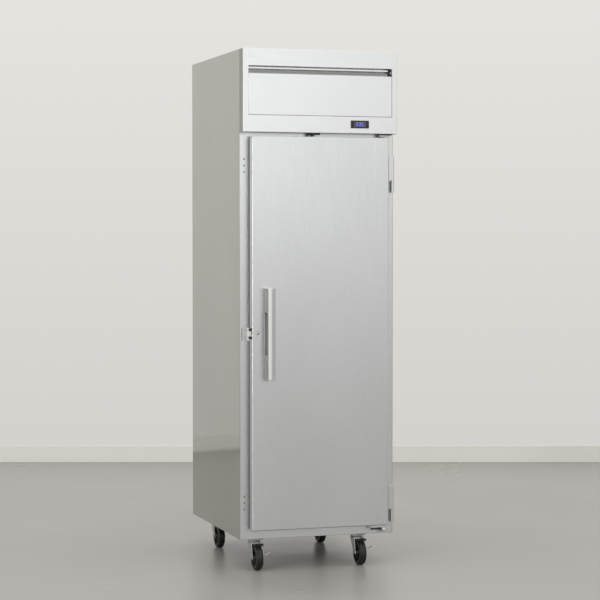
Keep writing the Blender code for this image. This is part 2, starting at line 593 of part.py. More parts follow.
def caster(where, x, plate_y, with_brake):
    """Swivel caster: top plate with its race, fork with axle, wheel, and a side brake in front."""
    top = CAB_BOTTOM - GAP
    race_low, crown_high, crown_low = 114 * MM, 113.4 * MM, 107 * MM
    wheel_y = plate_y - CASTER_TRAIL
    plate = box(f"caster_plate_{where}", (x - 31 * MM, plate_y - 34 * MM, top - 4 * MM),
                (x + 31 * MM, plate_y + 34 * MM, top), ZINC)
    join(plate, disc(f"race_{where}", (x, plate_y, (race_low + top - 3 * MM) / 2), 24 * MM,
                     top - 3 * MM - race_low))
    leg = ((plate_y + 20 * MM, crown_high), (plate_y - 34 * MM, crown_high),
           (wheel_y - 12 * MM, 58 * MM), (wheel_y - 8 * MM, 42 * MM), (wheel_y + 8 * MM, 42 * MM),
           (wheel_y + 14 * MM, 54 * MM))
    upright = Matrix(((0, 0, 1, 0), (1, 0, 0, 0), (0, 1, 0, 0), (0, 0, 0, 1)))
    swivel = (x, plate_y, 0)
    fork = disc(f"caster_fork_{where}", (x, plate_y, (crown_low + crown_high) / 2), 25 * MM,
                crown_high - crown_low, finish=ZINC, origin=swivel)
    for side in (-1, 1):
        shift = Matrix.Translation((x + side * 21 * MM, 0, 0))
        join(fork, outline(f"fork_leg_{where}_{side}", leg, 3 * MM, shift @ upright))
    join(fork,
         box(f"crown_{where}", (x - 21 * MM, plate_y - 34 * MM, crown_low),
             (x + 21 * MM, plate_y + 18 * MM, crown_high)),
         disc(f"axle_{where}", (x, wheel_y, WHEEL_RADIUS), 5 * MM, 52 * MM, "X", sides=16))
    axle = (x, wheel_y, WHEEL_RADIUS)
    wheel = disc(f"caster_wheel_{where}", axle, WHEEL_RADIUS, WHEEL_WIDTH, "X", TREAD, origin=axle,
                 sides=32)
    cut(wheel, disc(f"wheel_bore_{where}", axle, 5.4 * MM, WHEEL_WIDTH + 2 * BEYOND, "X", sides=16))
    edge = wheel.modifiers.new("tread_edge", "BEVEL")
    edge.width = 4 * MM
    edge.segments = 2
    edge.angle_limit = math.radians(40)
    if with_brake:
        hinge_at = (x + 24.5 * MM, wheel_y + 4 * MM, 66 * MM)
        lever = box(f"caster_brake_{where}", (x + 23.8 * MM, wheel_y - 8 * MM, 63 * MM),
                    (x + 26 * MM, wheel_y + 16 * MM, 80 * MM), BLACK_STEEL, origin=hinge_at)
        join(lever, box(f"brake_tab_{where}", (x + 24 * MM, wheel_y - 8 * MM, 63 * MM),
                        (x + 55 * MM, wheel_y + 12 * MM, 66 * MM)))


side_panels()
cabinet_shell()
insulation_and_liner()
shelves()
cooling_inside()
header()
controller()
condensing_unit()
door()
door_lock()
strike()
handle()
hinge("top")
stay_track(hinge("bottom"))
door_stay()
door_switch()
for corner_name, (wheel_x, swivel_y) in CASTERS.items():
    caster(corner_name, wheel_x, swivel_y, corner_name.startswith("front"))
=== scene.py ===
# %% [markdown]
# # Reach-in refrigerator
# One tall insulated cabinet on casters, with a single full-height door, a header that hides the
# condensing unit and a pressed pull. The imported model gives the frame: where each part is and
# which body it moves with. Every cell below adds what that frame lacks: folded edges, screws,
# wires, fins and the finish of each metal.

# %% Load the frame
import json
import math
from contextlib import contextmanager

import bmesh
import bpy
from mathutils import Euler, Matrix, Vector


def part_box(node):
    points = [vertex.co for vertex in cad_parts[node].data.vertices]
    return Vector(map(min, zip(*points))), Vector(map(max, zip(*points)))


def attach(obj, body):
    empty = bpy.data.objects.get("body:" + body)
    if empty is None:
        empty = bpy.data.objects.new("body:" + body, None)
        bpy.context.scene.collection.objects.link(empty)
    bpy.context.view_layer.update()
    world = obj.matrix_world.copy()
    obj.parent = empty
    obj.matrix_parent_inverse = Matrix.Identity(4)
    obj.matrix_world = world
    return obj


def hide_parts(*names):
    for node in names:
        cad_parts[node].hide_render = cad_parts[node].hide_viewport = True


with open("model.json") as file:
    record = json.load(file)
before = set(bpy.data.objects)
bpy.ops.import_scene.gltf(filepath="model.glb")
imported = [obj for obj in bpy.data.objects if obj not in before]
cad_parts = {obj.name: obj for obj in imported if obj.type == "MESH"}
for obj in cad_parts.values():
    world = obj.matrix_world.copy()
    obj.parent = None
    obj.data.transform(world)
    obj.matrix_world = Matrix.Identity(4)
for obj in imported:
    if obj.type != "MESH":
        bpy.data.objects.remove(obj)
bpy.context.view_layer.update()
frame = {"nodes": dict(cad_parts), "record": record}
MM = 0.001
SHEET = 1.2 * MM
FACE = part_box("face_frame")[0].y

# %% [markdown]
# ## Camera
# A long lens from a little above the middle of the door, turned so that the left side shows as a
# narrow strip. The lens is long so that upright edges stay upright.

# %% Camera
eye = bpy.data.cameras.new("view_camera")
eye.lens, eye.sensor_width = 114.49, 36
camera = bpy.data.objects.new("view_camera", eye)
camera.location = (-2.4826, -7.9153, 1.3935)
camera.rotation_euler = Euler((math.radians(88.03), 0, math.radians(-17.63)))
bpy.context.scene.collection.objects.link(camera)
bpy.context.scene.camera = camera
bpy.context.scene.view_settings.view_transform = "Standard"
print("camera is", round(camera.location.length, 2), "m from the floor's middle")

# %% [markdown]
# ## Modelling helpers
# Each piece starts as a primitive at its size and place, and is then shaped in edit mode. An
# operator acts on all that is selected, so these helpers first clear the selection, then pick
# faces or edges by where they are and which way they point.


# %% Start shapes
def only(*pieces):
    """Select these objects and nothing else; the first is active."""
    bpy.ops.object.select_all(action="DESELECT")
    for piece in pieces:
        piece.select_set(True)
    bpy.context.view_layer.objects.active = pieces[0]


def settle(piece, name):
    """Name a new primitive and put its place, turn and size into its mesh."""
    piece.name = piece.data.name = name
    only(piece)
    bpy.ops.object.transform_apply(location=True, rotation=True, scale=True)
    return piece


def block(name, low, high):
    low, high = Vector(low), Vector(high)
    bpy.ops.mesh.primitive_cube_add(size=1, location=(low + high) / 2)
    bpy.context.object.scale = high - low
    return settle(bpy.context.object, name)


TURN_TO = {"X": (0, math.pi / 2, 0), "Y": (math.pi / 2, 0, 0), "Z": (0, 0, 0)}


def rod(name, centre, radius, length, axis="Z", sides=24, tip=None):
    """A round bar about one axis; tip is the radius of its far end if it tapers."""
    bpy.ops.mesh.primitive_cone_add(vertices=sides, radius1=radius, depth=length, location=centre,
                                    radius2=radius if tip is None else tip, rotation=TURN_TO[axis])
    return settle(bpy.context.object, name)


# %% Edit-mode helpers
@contextmanager
def editing(piece, kind="FACE"):
    """Edit mode on one piece with nothing selected."""
    only(piece)
    bpy.ops.object.mode_set(mode="EDIT")
    bpy.ops.mesh.select_mode(type=kind)
    bpy.ops.mesh.select_all(action="DESELECT")
    yield piece
    bpy.ops.object.mode_set(mode="OBJECT")


def pick(piece, test, kind="faces"):
    """In edit mode, select the faces, edges or vertices that the test accepts, and no others."""
    mesh = bmesh.from_edit_mesh(piece.data)
    for face in mesh.faces:
        face.select_set(False)
    for edge in mesh.edges:
        edge.select_set(False)
    for vertex in mesh.verts:
        vertex.select_set(False)
    mesh.normal_update()
    chosen = [part for part in getattr(mesh, kind) if test(part)]
    for part in chosen:
        part.select_set(True)
    bmesh.update_edit_mesh(piece.data)
    return len(chosen)


def faces_to(*direction):
    """A test for faces that point this way."""
    way = Vector(direction).normalized()
    return lambda face: face.normal.dot(way) > 0.9


def middle(edge):
    return (edge.verts[0].co + edge.verts[1].co) / 2


def along(edge):
    return (edge.verts[1].co - edge.verts[0].co).normalized()


# %% Modifier helpers
def apply(piece, kind, **settings):
    """Add one modifier, set it and apply it."""
    only(piece)
    step = piece.modifiers.new(kind.lower(), kind)
    for key, value in settings.items():
        setattr(step, key, value)
    bpy.ops.object.modifier_apply(modifier=step.name)
    return piece


def soften(piece, width=0.6 * MM, segments=2, angle=35):
    """Round every edge sharper than the angle, as a deburred or folded edge is."""
    apply(piece, "BEVEL", width=width, segments=segments, limit_method="ANGLE",
          angle_limit=math.radians(angle), use_clamp_overlap=True)
    return smooth(piece)


def smooth(piece, angle=32):
    """Smooth shading over the folds only: large flat faces keep their own normal."""
    only(piece)
    bpy.ops.object.shade_smooth_by_angle(angle=math.radians(angle))
    return apply(piece, "WEIGHTED_NORMAL", keep_sharp=True)


def cut(piece, *tools):
    """Take the tools' shapes out of the piece."""
    for tool in tools:
        apply(piece, "BOOLEAN", object=tool, operation="DIFFERENCE", solver="EXACT")
        bpy.data.objects.remove(tool, do_unlink=True)
    return piece


def fold(piece, gone, width=2.5 * MM, wall=SHEET, segments=3):
    """Turn a closed block into folded sheet: drop the open sides, round the folds, add a wall."""
    with editing(piece):
        pick(piece, lambda face: any(face.normal.dot(Vector(way)) > 0.9 for way in gone))
        bpy.ops.mesh.delete(type="FACE")
    with editing(piece, "EDGE"):
        pick(piece, lambda edge: len(edge.link_faces) == 2, "edges")
        bpy.ops.mesh.bevel(offset=width, segments=segments, affect="EDGES")
    apply(piece, "SOLIDIFY", thickness=wall, offset=-1, use_even_offset=True)
    return smooth(piece)


def slab(name, low, high, *edge):
    """A block with every edge rounded; edge is what soften takes."""
    return soften(block(name, low, high), *edge)


def round_corners(piece, axis, width, segments=4):
    """Round only the edges that run along one axis, as the corners of a punched plate."""
    at = "xyz".index(axis)
    with editing(piece, "EDGE"):
        pick(piece, lambda edge: abs(along(edge)[at]) > 0.9, "edges")
        bpy.ops.mesh.bevel(offset=width, segments=segments, affect="EDGES")


def dish(piece, facing, rim, push):
    """Inset the faces that point one way by a rim, and push what is inside the rim."""
    with editing(piece):
        pick(piece, faces_to(*facing))
        bpy.ops.mesh.inset(thickness=rim)
        bpy.ops.transform.translate(value=push)


def second_finish(piece, finish, test):
    """Give the faces that the test accepts another finish than the rest of the piece."""
    piece.data.materials.append(FINISH[finish])
    for face in piece.data.polygons:
        if test(face):
            face.material_index = 1


# %% Copies and joins
def shifted(piece, offset, name=None):
    """A copy with its own mesh, moved by an offset."""
    made = piece.copy()
    made.data = piece.data.copy()
    made.data.transform(Matrix.Translation(offset))
    made.name = made.data.name = name or piece.name + "_copy"
    bpy.context.scene.collection.objects.link(made)
    return made


def spun(piece, count, centre, axis="Z", step=None):
    """The piece and its copies round a centre, as a list."""
    made = [piece]
    for number in range(1, count):
        angle = number * (step or 2 * math.pi / count)
        one = shifted(piece, (0, 0, 0))
        one.data.transform(Matrix.Translation(centre) @ Matrix.Rotation(angle, 4, axis)
                           @ Matrix.Translation(-Vector(centre)))
        made.append(one)
    return made


def join(name, *pieces):
    only(*pieces)
    if len(pieces) > 1:
        bpy.ops.object.join()
    pieces[0].name = pieces[0].data.name = name
    return pieces[0]


def bend_wire(name, points, radius, sides=6, closed=False):
    """A round wire along points: a bevelled curve, turned to a mesh."""
    curve = bpy.data.curves.new(name, "CURVE")
    curve.dimensions = "3D"
    curve.bevel_depth = radius
    curve.bevel_resolution = max(0, sides // 2 - 2)
    curve.use_fill_caps = True
    line = curve.splines.new("POLY")
    line.points.add(len(points) - 1)
    for point, place in zip(line.points, points):
        point.co = (*place, 1)
    line.use_cyclic_u = closed
    made = bpy.data.objects.new(name, curve)
    bpy.context.scene.collection.objects.link(made)
    only(made)
    bpy.ops.object.convert(target="MESH")
    return smooth(bpy.context.object, 60)


def arc(centre, radius, start, stop, steps, plane="XZ"):
    """Points on part of a circle, in degrees, in one plane."""
    axes = {"XZ": (0, 2), "XY": (0, 1), "YZ": (1, 2)}[plane]
    points = []
    for step in range(steps + 1):
        angle = math.radians(start + (stop - start) * step / steps)
        place = Vector(centre)
        place[axes[0]] += radius * math.cos(angle)
        place[axes[1]] += radius * math.sin(angle)
        points.append(place)
    return points


made_pieces = []


def finish_piece(piece, finish, body, *nodes, slot=None):
    """Give a piece its finish and the body it rides on, and hide the CAD nodes it stands for."""
    if finish is not None:
        piece.data.materials.clear()
        piece.data.materials.append(FINISH[finish])
    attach(piece, body)
    if nodes:
        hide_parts(*nodes)
    made_pieces.append(piece.name)
    print(piece.name, len(piece.data.polygons), "faces on", body)
    return piece


# %% [markdown]
# ## Finishes
# Every finish is a Principled shader with a pattern in object space, so it keeps its real size
# on every piece. A brushed grain is noise stretched along the grain: it changes the roughness
# and the bump a little from line to line. Real grain lines are under half a millimetre apart;
# they are drawn about three times as coarse so that they show.


# %% Colour and node helpers
def srgb(code):
    """A hex colour as the linear values that shader nodes want."""
    parts = [int(code[at:at + 2], 16) / 255 for at in (1, 3, 5)]
    return [part / 12.92 if part <= 0.04045 else ((part + 0.055) / 1.055) ** 2.4
            for part in parts] + [1.0]


def add_node(tree, kind, settings=None, feeds=None):
    """Add a node: settings go on its properties or sockets, feeds are the links into it."""
    made = tree.nodes.new(kind)
    for key, value in (settings or {}).items():
        if isinstance(key, str) and hasattr(made, key):
            setattr(made, key, value)
        else:
            made.inputs[key].default_value = value
    for key, source in (feeds or {}).items():
        tree.links.new(source, made.inputs[key])
    return made


FINISH, SLOT_OF = {}, {}


def start_finish(key, name, slot, colour, roughness, metallic=0.0, **sockets):
    """A new Principled finish. Values that are the same all over go on the shader itself."""
    made = bpy.data.materials.new(name)
    made.use_nodes = True
    shader = made.node_tree.nodes["Principled BSDF"]
    shader.inputs["Base Color"].default_value = srgb(colour)
    shader.inputs["Roughness"].default_value = roughness
    shader.inputs["Metallic"].default_value = metallic
    for socket, value in sockets.items():
        shader.inputs[socket.replace("_", " ")].default_value = value
    made.diffuse_color = srgb(colour)
    FINISH[key], SLOT_OF[key] = made, slot
    return made.node_tree, shader


def stretched_noise(tree, scale, detail=2.0, rough=0.6):
    """Noise in object space, with its own scale along each axis (per metre)."""
    where = add_node(tree, "ShaderNodeTexCoord")
    place = add_node(tree, "ShaderNodeMapping", {"Scale": scale}, {"Vector": where.outputs["Object"]})
    return add_node(tree, "ShaderNodeTexNoise", {"Scale": 1.0, "Detail": detail, "Roughness": rough},
                    {"Vector": place.outputs["Vector"]})


def ranged(tree, source, low, high, start=0.3, stop=0.7):
    made = add_node(tree, "ShaderNodeMapRange", {"From Min": start, "From Max": stop, "To Min": low,
                                                 "To Max": high}, {"Value": source})
    return made.outputs["Result"]


def bumped(tree, shader, height, distance, strength=1.0):
    bump = add_node(tree, "ShaderNodeBump", {"Strength": strength, "Distance": distance},
                    {"Height": height})
    tree.links.new(bump.outputs["Normal"], shader.inputs["Normal"])


def tinted(tree, shader, source, dark, light, start=0.3, stop=0.7):
    """Let a pattern move the colour between two close tones."""
    ramp = add_node(tree, "ShaderNodeValToRGB", feeds={"Fac": source})
    ramp.color_ramp.elements[0].position, ramp.color_ramp.elements[1].position = start, stop
    ramp.color_ramp.elements[0].color, ramp.color_ramp.elements[1].color = srgb(dark), srgb(light)
    tree.links.new(ramp.outputs["Color"], shader.inputs["Base Color"])


# %% [markdown]
# ### Brushed stainless steel
# Cold-rolled sheet with a number 4 belt finish. To the eye it is a soft mirror: bright bands
# with blurred edges, and a faint grain that runs the long way of each sheet.

# %% Stainless finishes
GRAIN_ACROSS, GRAIN_ALONG = 1 / (1.3 * MM), 1 / (90 * MM)


def brushed(key, name, slot, dark, light, low, high, grain, depth=0.012 * MM):
    """A metal sheet with its grain along one axis, and a slow drift in tone across the sheet."""
    tree, shader = start_finish(key, name, slot, light, (low + high) / 2, 1.0)
    scale = [GRAIN_ACROSS] * 3
    scale["XYZ".index(grain)] = GRAIN_ALONG
    lines = stretched_noise(tree, scale)
    tree.links.new(ranged(tree, lines.outputs["Fac"], low, high), shader.inputs["Roughness"])
    drift = stretched_noise(tree, (2.2, 2.2, 1.1), 1.0)
    tinted(tree, shader, drift.outputs["Fac"], dark, light)
    bumped(tree, shader, lines.outputs["Fac"], depth)


brushed("stainless", "stainless_sheet_grain_upright", "stainless", "#cfd1d4", "#d5d7da", 0.27, 0.35, "Z")
brushed("stainless_across", "stainless_sheet_grain_across", "stainless", "#dbdde0", "#e0e2e5", 0.30, 0.38,
        "X")
brushed("side_sheet", "side_panel_sheet", "stainless", "#adaea8", "#b2b3ad", 0.05, 0.08, "Z")
brushed("anodised", "satin_anodised_aluminium", "anodised", "#cfcfce", "#d6d6d5", 0.34, 0.42, "Z")
# Painted shade: the hood's folded ends face away from the light, so they get a darker copy of the stainless
# sheet.
brushed("cheek", "hood_cheek_painted_shade", "stainless", "#8b8c87", "#92938e", 0.2, 0.28, "Z")
# Painted highlight: the strike, the stay's tail bar and the brake pedals get a near-white finish that stands
# in for the glint of bright zinc.
start_finish("painted_zinc_glint", "zinc_painted_highlight", "stainless", "#f6f6f4", 0.42, 0.25)
# Painted light on the pull: its finger-side flank gets a darker copy of the finish as painted shade, and its
# outer faces a brighter one as painted highlight, which shows its section.
brushed("painted_shade_flank", "pull_flank_painted_shade", "anodised", "#a2a2a1", "#aaaaa9", 0.36, 0.44, "Z")
brushed("painted_highlight_pull", "pull_outer_painted_highlight", "anodised", "#ecedee", "#f2f3f4", 0.36, 0.44, "Z")
brushed("blade", "satin_anodised_blade", "anodised", "#b9b9b8", "#c3c3c2", 0.34, 0.42, "X")
print(len(FINISH), "brushed finishes")

# %% [markdown]
# ### Galvanised, zinc plate and coated liner
# Hot-dip galvanised sheet shows a spangle of flat crystals 5 to 15 mm wide, each a slightly
# different grey; cell noise gives one tone per crystal. Zinc plate is brighter and finely
# clouded. The liner is embossed aluminium: small soft bumps that hide scratches.

# %% Galvanised
tree, shader = start_finish("galvanised", "galvanised_sheet", "galvanised", "#aeb0b1", 0.42, 1.0)
where = add_node(tree, "ShaderNodeTexCoord")
crystals = add_node(tree, "ShaderNodeTexVoronoi", {"Scale": 1 / (11 * MM)},
                    {"Vector": where.outputs["Object"]})
grey = add_node(tree, "ShaderNodeSeparateColor", feeds={"Color": crystals.outputs["Color"]})
tinted(tree, shader, grey.outputs["Red"], "#a3a6a8", "#bcbebf", 0.0, 1.0)
tree.links.new(ranged(tree, grey.outputs["Green"], 0.34, 0.5, 0, 1), shader.inputs["Roughness"])

# %% Zinc plate
tree, shader = start_finish("zinc", "bright_zinc_plate", "zinc", "#b4b6b6", 0.32, 1.0)
cloud = stretched_noise(tree, (90, 90, 90), 3.0)
tinted(tree, shader, cloud.outputs["Fac"], "#a9abab", "#bfc1c1")
tree.links.new(ranged(tree, cloud.outputs["Fac"], 0.26, 0.4), shader.inputs["Roughness"])

# %% Embossed liner
tree, shader = start_finish("liner", "embossed_aluminium_liner", "liner", "#d6d8d8", 0.34, 1.0)
where = add_node(tree, "ShaderNodeTexCoord")
emboss = add_node(tree, "ShaderNodeTexVoronoi", {"Scale": 1 / (3.2 * MM), "feature": "SMOOTH_F1"},
                  {"Vector": where.outputs["Object"]})
bumped(tree, shader, emboss.outputs["Distance"], 0.12 * MM, 0.5)
drift = stretched_noise(tree, (3, 3, 3), 1.0)
tinted(tree, shader, drift.outputs["Fac"], "#cfd1d1", "#dcdedd")

# %% [markdown]
# ### Plastics, rubber and enamel
# Moulded ABS has a fine spark-eroded texture, so its highlight breaks up at the edges. Vinyl
# gasket and polyurethane tread are duller and slightly warm. Black enamel on the compressor is
# glossy with a little orange peel.


# %% Moulded and painted finishes
def grained(key, name, slot, dark, light, low, high, size, depth, metallic=0.0, **sockets):
    """A moulded or painted finish: one fine noise drives tone, roughness and bump."""
    tree, shader = start_finish(key, name, slot, light, (low + high) / 2, metallic, **sockets)
    grit = stretched_noise(tree, (1 / size,) * 3, 3.0)
    tinted(tree, shader, grit.outputs["Fac"], dark, light)
    tree.links.new(ranged(tree, grit.outputs["Fac"], low, high), shader.inputs["Roughness"])
    bumped(tree, shader, grit.outputs["Fac"], depth)


grained("black_plastic", "moulded_black_abs", "black_plastic", "#0b0b0c", "#141416", 0.36, 0.5, 0.9 * MM,
        0.03 * MM)
grained("bezel", "bezel_black_abs", "black_plastic", "#15161a", "#1c1d22", 0.28, 0.38, 0.9 * MM, 0.01 * MM)
grained("gasket", "grey_vinyl_gasket", "gasket", "#6a6a64", "#767670", 0.5, 0.62, 1.5 * MM, 0.02 * MM)
grained("dark_rubber", "black_rubber_pad", "gasket", "#121212", "#1b1b1a", 0.55, 0.7, 1.5 * MM, 0.03 * MM)
grained("tread", "black_polyurethane_tread", "tread", "#0d0d0d", "#171716", 0.36, 0.52, 3.0 * MM, 0.08 * MM)
grained("black_steel", "black_enamelled_steel", "black_steel", "#0c0c0d", "#131315", 0.22, 0.34, 4.0 * MM,
        0.04 * MM)
grained("shelf_wire", "grey_epoxy_coated_wire", "shelf_wire", "#b9bcbc", "#c4c7c7", 0.26, 0.36, 2.0 * MM,
        0.02 * MM)
grained("lamp_diffuser", "opal_acrylic_diffuser", "lamp_diffuser", "#e4e4e0", "#ecece8", 0.2, 0.28,
        6.0 * MM, 0.01 * MM, Subsurface_Weight=0.1)
grained("white_nylon", "white_nylon_washer", "lamp_diffuser", "#e6e6e2", "#f0f0ec", 0.35, 0.45, 2.0 * MM,
        0.01 * MM)
grained("breaker", "light_grey_vinyl_strip", "liner", "#b5b7b6", "#bfc1c0", 0.4, 0.5, 2.0 * MM, 0.02 * MM)
grained("foam", "polyurethane_foam_cut", "foam", "#cdb878", "#dccb92", 0.8, 0.95, 1.2 * MM, 0.3 * MM)
grained("fin_pack", "mill_finish_fin", "fin_pack", "#bfc1c3", "#cdcfd0", 0.3, 0.42, 5.0 * MM, 0.01 * MM, 1.0)
grained("copper", "drawn_copper_tube", "copper", "#a9633f", "#c27a52", 0.24, 0.4, 8.0 * MM, 0.01 * MM, 1.0)
print(len(FINISH), "finishes so far")

# %% [markdown]
# ### Display
# The controller shows lit segments behind a smoked lens. The segments give off light; the lens
# is only a very dark, very glossy plastic around them.

# %% Display finishes
tree, shader = start_finish("segments", "lit_display_segment", "black_plastic", "#5a5cd8", 0.4)
shader.inputs["Emission Color"].default_value = srgb("#6f72e6")
shader.inputs["Emission Strength"].default_value = 0.9
tree, shader = start_finish("lens", "smoked_lens", "black_plastic", "#0a0b12", 0.08)
shader.inputs["Coat Weight"].default_value = 0.5
tree, shader = start_finish("icon", "printed_icon_white", "black_plastic", "#a8abb4", 0.5)

# %% [markdown]
# ### Where each CAD node gets its finish
# A node that is kept takes the finish with the name of its slot in the record. Most are replaced
# below.

# %% Finish the kept nodes
for part in frame["record"]["subparts"]:
    node = frame["nodes"][part["node"]]
    node.data.materials.clear()
    node.data.materials.append(FINISH[part["material_slot"]])
print(len(frame["nodes"]), "nodes have a finish")

# %% [markdown]
# ## Floor, room tone and light
# The refrigerator stands on a pale satin floor that ends at a low white skirting. There is no
# wall: the world's own colour stands for it, so that the object can be seen from every side.
# The world is a little darker low down than high up, as a plain wall lit from above is.

# %% Floor and skirting
VIEW_TURN = Matrix.Rotation(camera.rotation_euler.z, 4, "Z")
FLOOR_BACK = 3.34
tree, shader = start_finish("floor", "satin_concrete_floor", None, "#a9a8a4", 0.3)
cloud = stretched_noise(tree, (1.3, 1.3, 1.3), 4.0)
tinted(tree, shader, cloud.outputs["Fac"], "#9d9c98", "#a5a4a0", 0.35, 0.65)
tree.links.new(ranged(tree, cloud.outputs["Fac"], 0.26, 0.38), shader.inputs["Roughness"])
start_finish("skirting", "white_skirting", None, "#f4f3ef", 0.5)

floor = block("floor", (-8, -9.5, -0.02), (8, FLOOR_BACK, 0))
skirting = block("skirting", (-5, FLOOR_BACK - 0.02, 0), (2.8, FLOOR_BACK, 0.105))
soften(skirting, 3 * MM)
for piece, finish in ((floor, "floor"), (skirting, "skirting")):
    piece.data.transform(VIEW_TURN)
    piece.data.materials.append(FINISH[finish])

# %% World
world = bpy.data.worlds.new("plain_room")
world.use_nodes = True
bpy.context.scene.world = world
tree = world.node_tree
way = add_node(tree, "ShaderNodeTexCoord")
parts = add_node(tree, "ShaderNodeSeparateXYZ", feeds={"Vector": way.outputs["Generated"]})
ramp = add_node(tree, "ShaderNodeValToRGB",
                feeds={"Fac": ranged(tree, parts.outputs["Z"], 0, 1, -0.12, 0.14)})
ramp.color_ramp.elements[0].color = srgb("#d2d0cc")
ramp.color_ramp.elements[1].color = srgb("#e7e5e1")
tree.links.new(ramp.outputs["Color"], tree.nodes["Background"].inputs["Color"])
WORLD_STRENGTH = 1.0
tree.nodes["Background"].inputs["Strength"].default_value = WORLD_STRENGTH


# %% Softboxes
def softbox(name, place, target, width, height, power):
    """A large rectangular lamp that faces a point."""
    lamp = bpy.data.lights.new(name, "AREA")
    lamp.shape, lamp.size, lamp.size_y, lamp.energy = "RECTANGLE", width, height, power
    made = bpy.data.objects.new(name, lamp)
    made.location = place
    made.rotation_euler = (Vector(target) - Vector(place)).to_track_quat("-Z", "Y").to_euler()
    bpy.context.scene.collection.objects.link(made)
    return made


BANDS = ((0.1, 0.9, 0.09), (0.9, 1.5, 0.30), (1.5, 2.1, 0.64), (2.1, 3.6, 0.76))
BAND_LEFT, BAND_RIGHT, BAND_Y = -4.0, 2.7, -6.1
for number, (low, high, glow) in enumerate(BANDS, 1):
    width, height = BAND_RIGHT - BAND_LEFT, high - low
    place = ((BAND_LEFT + BAND_RIGHT) / 2, BAND_Y, (low + high) / 2)
    softbox(f"front_band_{number}", place, (place[0], 0, place[2]), width, height,
            glow * math.pi * width * height)
softbox("edge_strip", (-5.2, -3.6, 1.3), (0, -0.4, 1.2), 0.7, 2.8, 70)
softbox("top_softbox", (0, -1.0, 5.0), (0, 0, 0), 4.0, 4.0, 40)
print(len(BANDS), "front bands and a top softbox")

# %% [markdown]
# ## Side panels
# Each side is one sheet with its edges folded in at the top, bottom and back. It could be a flat
# plane with thickness, but the folds are what catches the light, so it starts as a closed block,
# loses its open sides, has its folds rounded and then gets the wall thickness of the sheet.

# %% Side panels
OUT = {"left": -1, "right": 1}
for side, way in OUT.items():
    low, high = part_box(f"side_panel_{side}")
    panel = fold(block(f"side_skin_{side}", low, high), [(-way, 0, 0), (0, -1, 0)])
    finish_piece(panel, "side_sheet", "cabinet", f"side_panel_{side}", slot="stainless")

# %% [markdown]
# ## Face frame
# The frame round the door opening is one sheet with the opening punched out. Down its left
# stile run the spare holes for a left-hung door. A light grey vinyl strip bridges from the steel
# to the liner to stop sweating.

# %% Face frame
low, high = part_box("face_frame")
liner_low, liner_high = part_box("inner_liner")
HOLE_X = -0.317
HOLE_HEIGHTS = [height * MM for height in (1703.8, 1677.1, 1650.3, 305.7, 280.7, 253.7)]
face_frame = block("face_frame_sheet", (low.x, low.y, low.z), (high.x, high.y, high.z))
opening = block("opening_cutter", (liner_low.x - 0.3 * MM, low.y - 0.01, liner_low.z - 0.3 * MM),
                (liner_high.x + 0.3 * MM, high.y + 0.01, liner_high.z + 0.3 * MM))
holes = [rod(f"stile_hole_{number}", (HOLE_X, low.y, height), 3 * MM, 0.02, "Y", 16)
         for number, height in enumerate(HOLE_HEIGHTS)]
cut(face_frame, opening, *holes)
soften(face_frame, 0.5 * MM)
finish_piece(face_frame, "stainless", "cabinet", "face_frame")

# %% Stile hole linings
# Each hole has a pressed rim that looks dark from the front.
plugs = []
for height in HOLE_HEIGHTS:
    plug = rod("hole_plug", (HOLE_X, low.y + 1.4 * MM, height), 2.9 * MM, 0.8 * MM, "Y", 16)
    dish(plug, (0, -1, 0), 0.8 * MM, (0, 0.5 * MM, 0))
    plugs.append(plug)
finish_piece(smooth(join("stile_hole_linings", *plugs)), "dark_rubber", "cabinet", slot="gasket")

# %% Breaker strip round the opening
strip = block("breaker_strip", (liner_low.x + 1.6 * MM, low.y + 0.2 * MM, liner_low.z + 1.6 * MM),
              (liner_high.x - 1.6 * MM, low.y + 22 * MM, liner_high.z - 1.6 * MM))
with editing(strip):
    pick(strip, lambda face: abs(face.normal.y) > 0.9)
    bpy.ops.mesh.delete(type="FACE")
apply(strip, "SOLIDIFY", thickness=2 * MM, offset=-1, use_even_offset=True)
soften(strip, 0.8 * MM)
finish_piece(strip, "breaker", "cabinet", slot="liner")

# %% [markdown]
# ## Header
# The hood is a folded box, open behind. A window in its front holds the drop-front panel, and
# above that panel a slot with two sloped blades lets air into the condensing unit. The hood and
# the panel are folded from sheet; the blades are extruded strips.

# %% Hood
low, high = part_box("header_hood")
panel_low, panel_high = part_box("service_panel")
grille_low, grille_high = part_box("louvre_grille")
hood = fold(block("header_hood_sheet", low, high), [(0, 1, 0)], 2.2 * MM)
window = block("window_cutter", (panel_low.x - 0.6 * MM, low.y - 0.01, panel_low.z - 0.6 * MM),
               (panel_high.x + 0.6 * MM, low.y + 0.01, grille_high.z + 0.5 * MM))
bezel_low, bezel_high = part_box("controller")
socket_hole = block("controller_cutter", (bezel_low.x + 3 * MM, low.y - 0.01, bezel_low.z + 2.8 * MM),
                    (bezel_high.x - 3 * MM, low.y + 0.005, bezel_high.z - 2.8 * MM))
seams = [block(f"seam_{x:.0f}", (x * MM - 0.5 * MM, low.y - 0.01, grille_high.z + 6 * MM),
               (x * MM + 0.5 * MM, low.y + 0.5 * MM, high.z - 2.4 * MM)) for x in (-313.2, 313.2)]
cut(hood, window, socket_hole, *seams)
smooth(hood)
finish_piece(hood, "stainless_across", "cabinet", "header_hood", slot="stainless")
# Painted shade: the hood's end faces take the darker cheek copy of the sheet.
second_finish(hood, "cheek", lambda face: abs(face.normal.x) > 0.9 and abs(face.center.x) > 0.33)

# %% Drop-front panel
CLOSER = Vector((0.3 * MM, 0, 0.3 * MM))
panel = fold(block("drop_front_panel", panel_low - CLOSER, panel_high + CLOSER), [(0, 1, 0)], 2.6 * MM)
finish_piece(panel, "stainless_across", "drop_panel", "service_panel", slot="stainless")


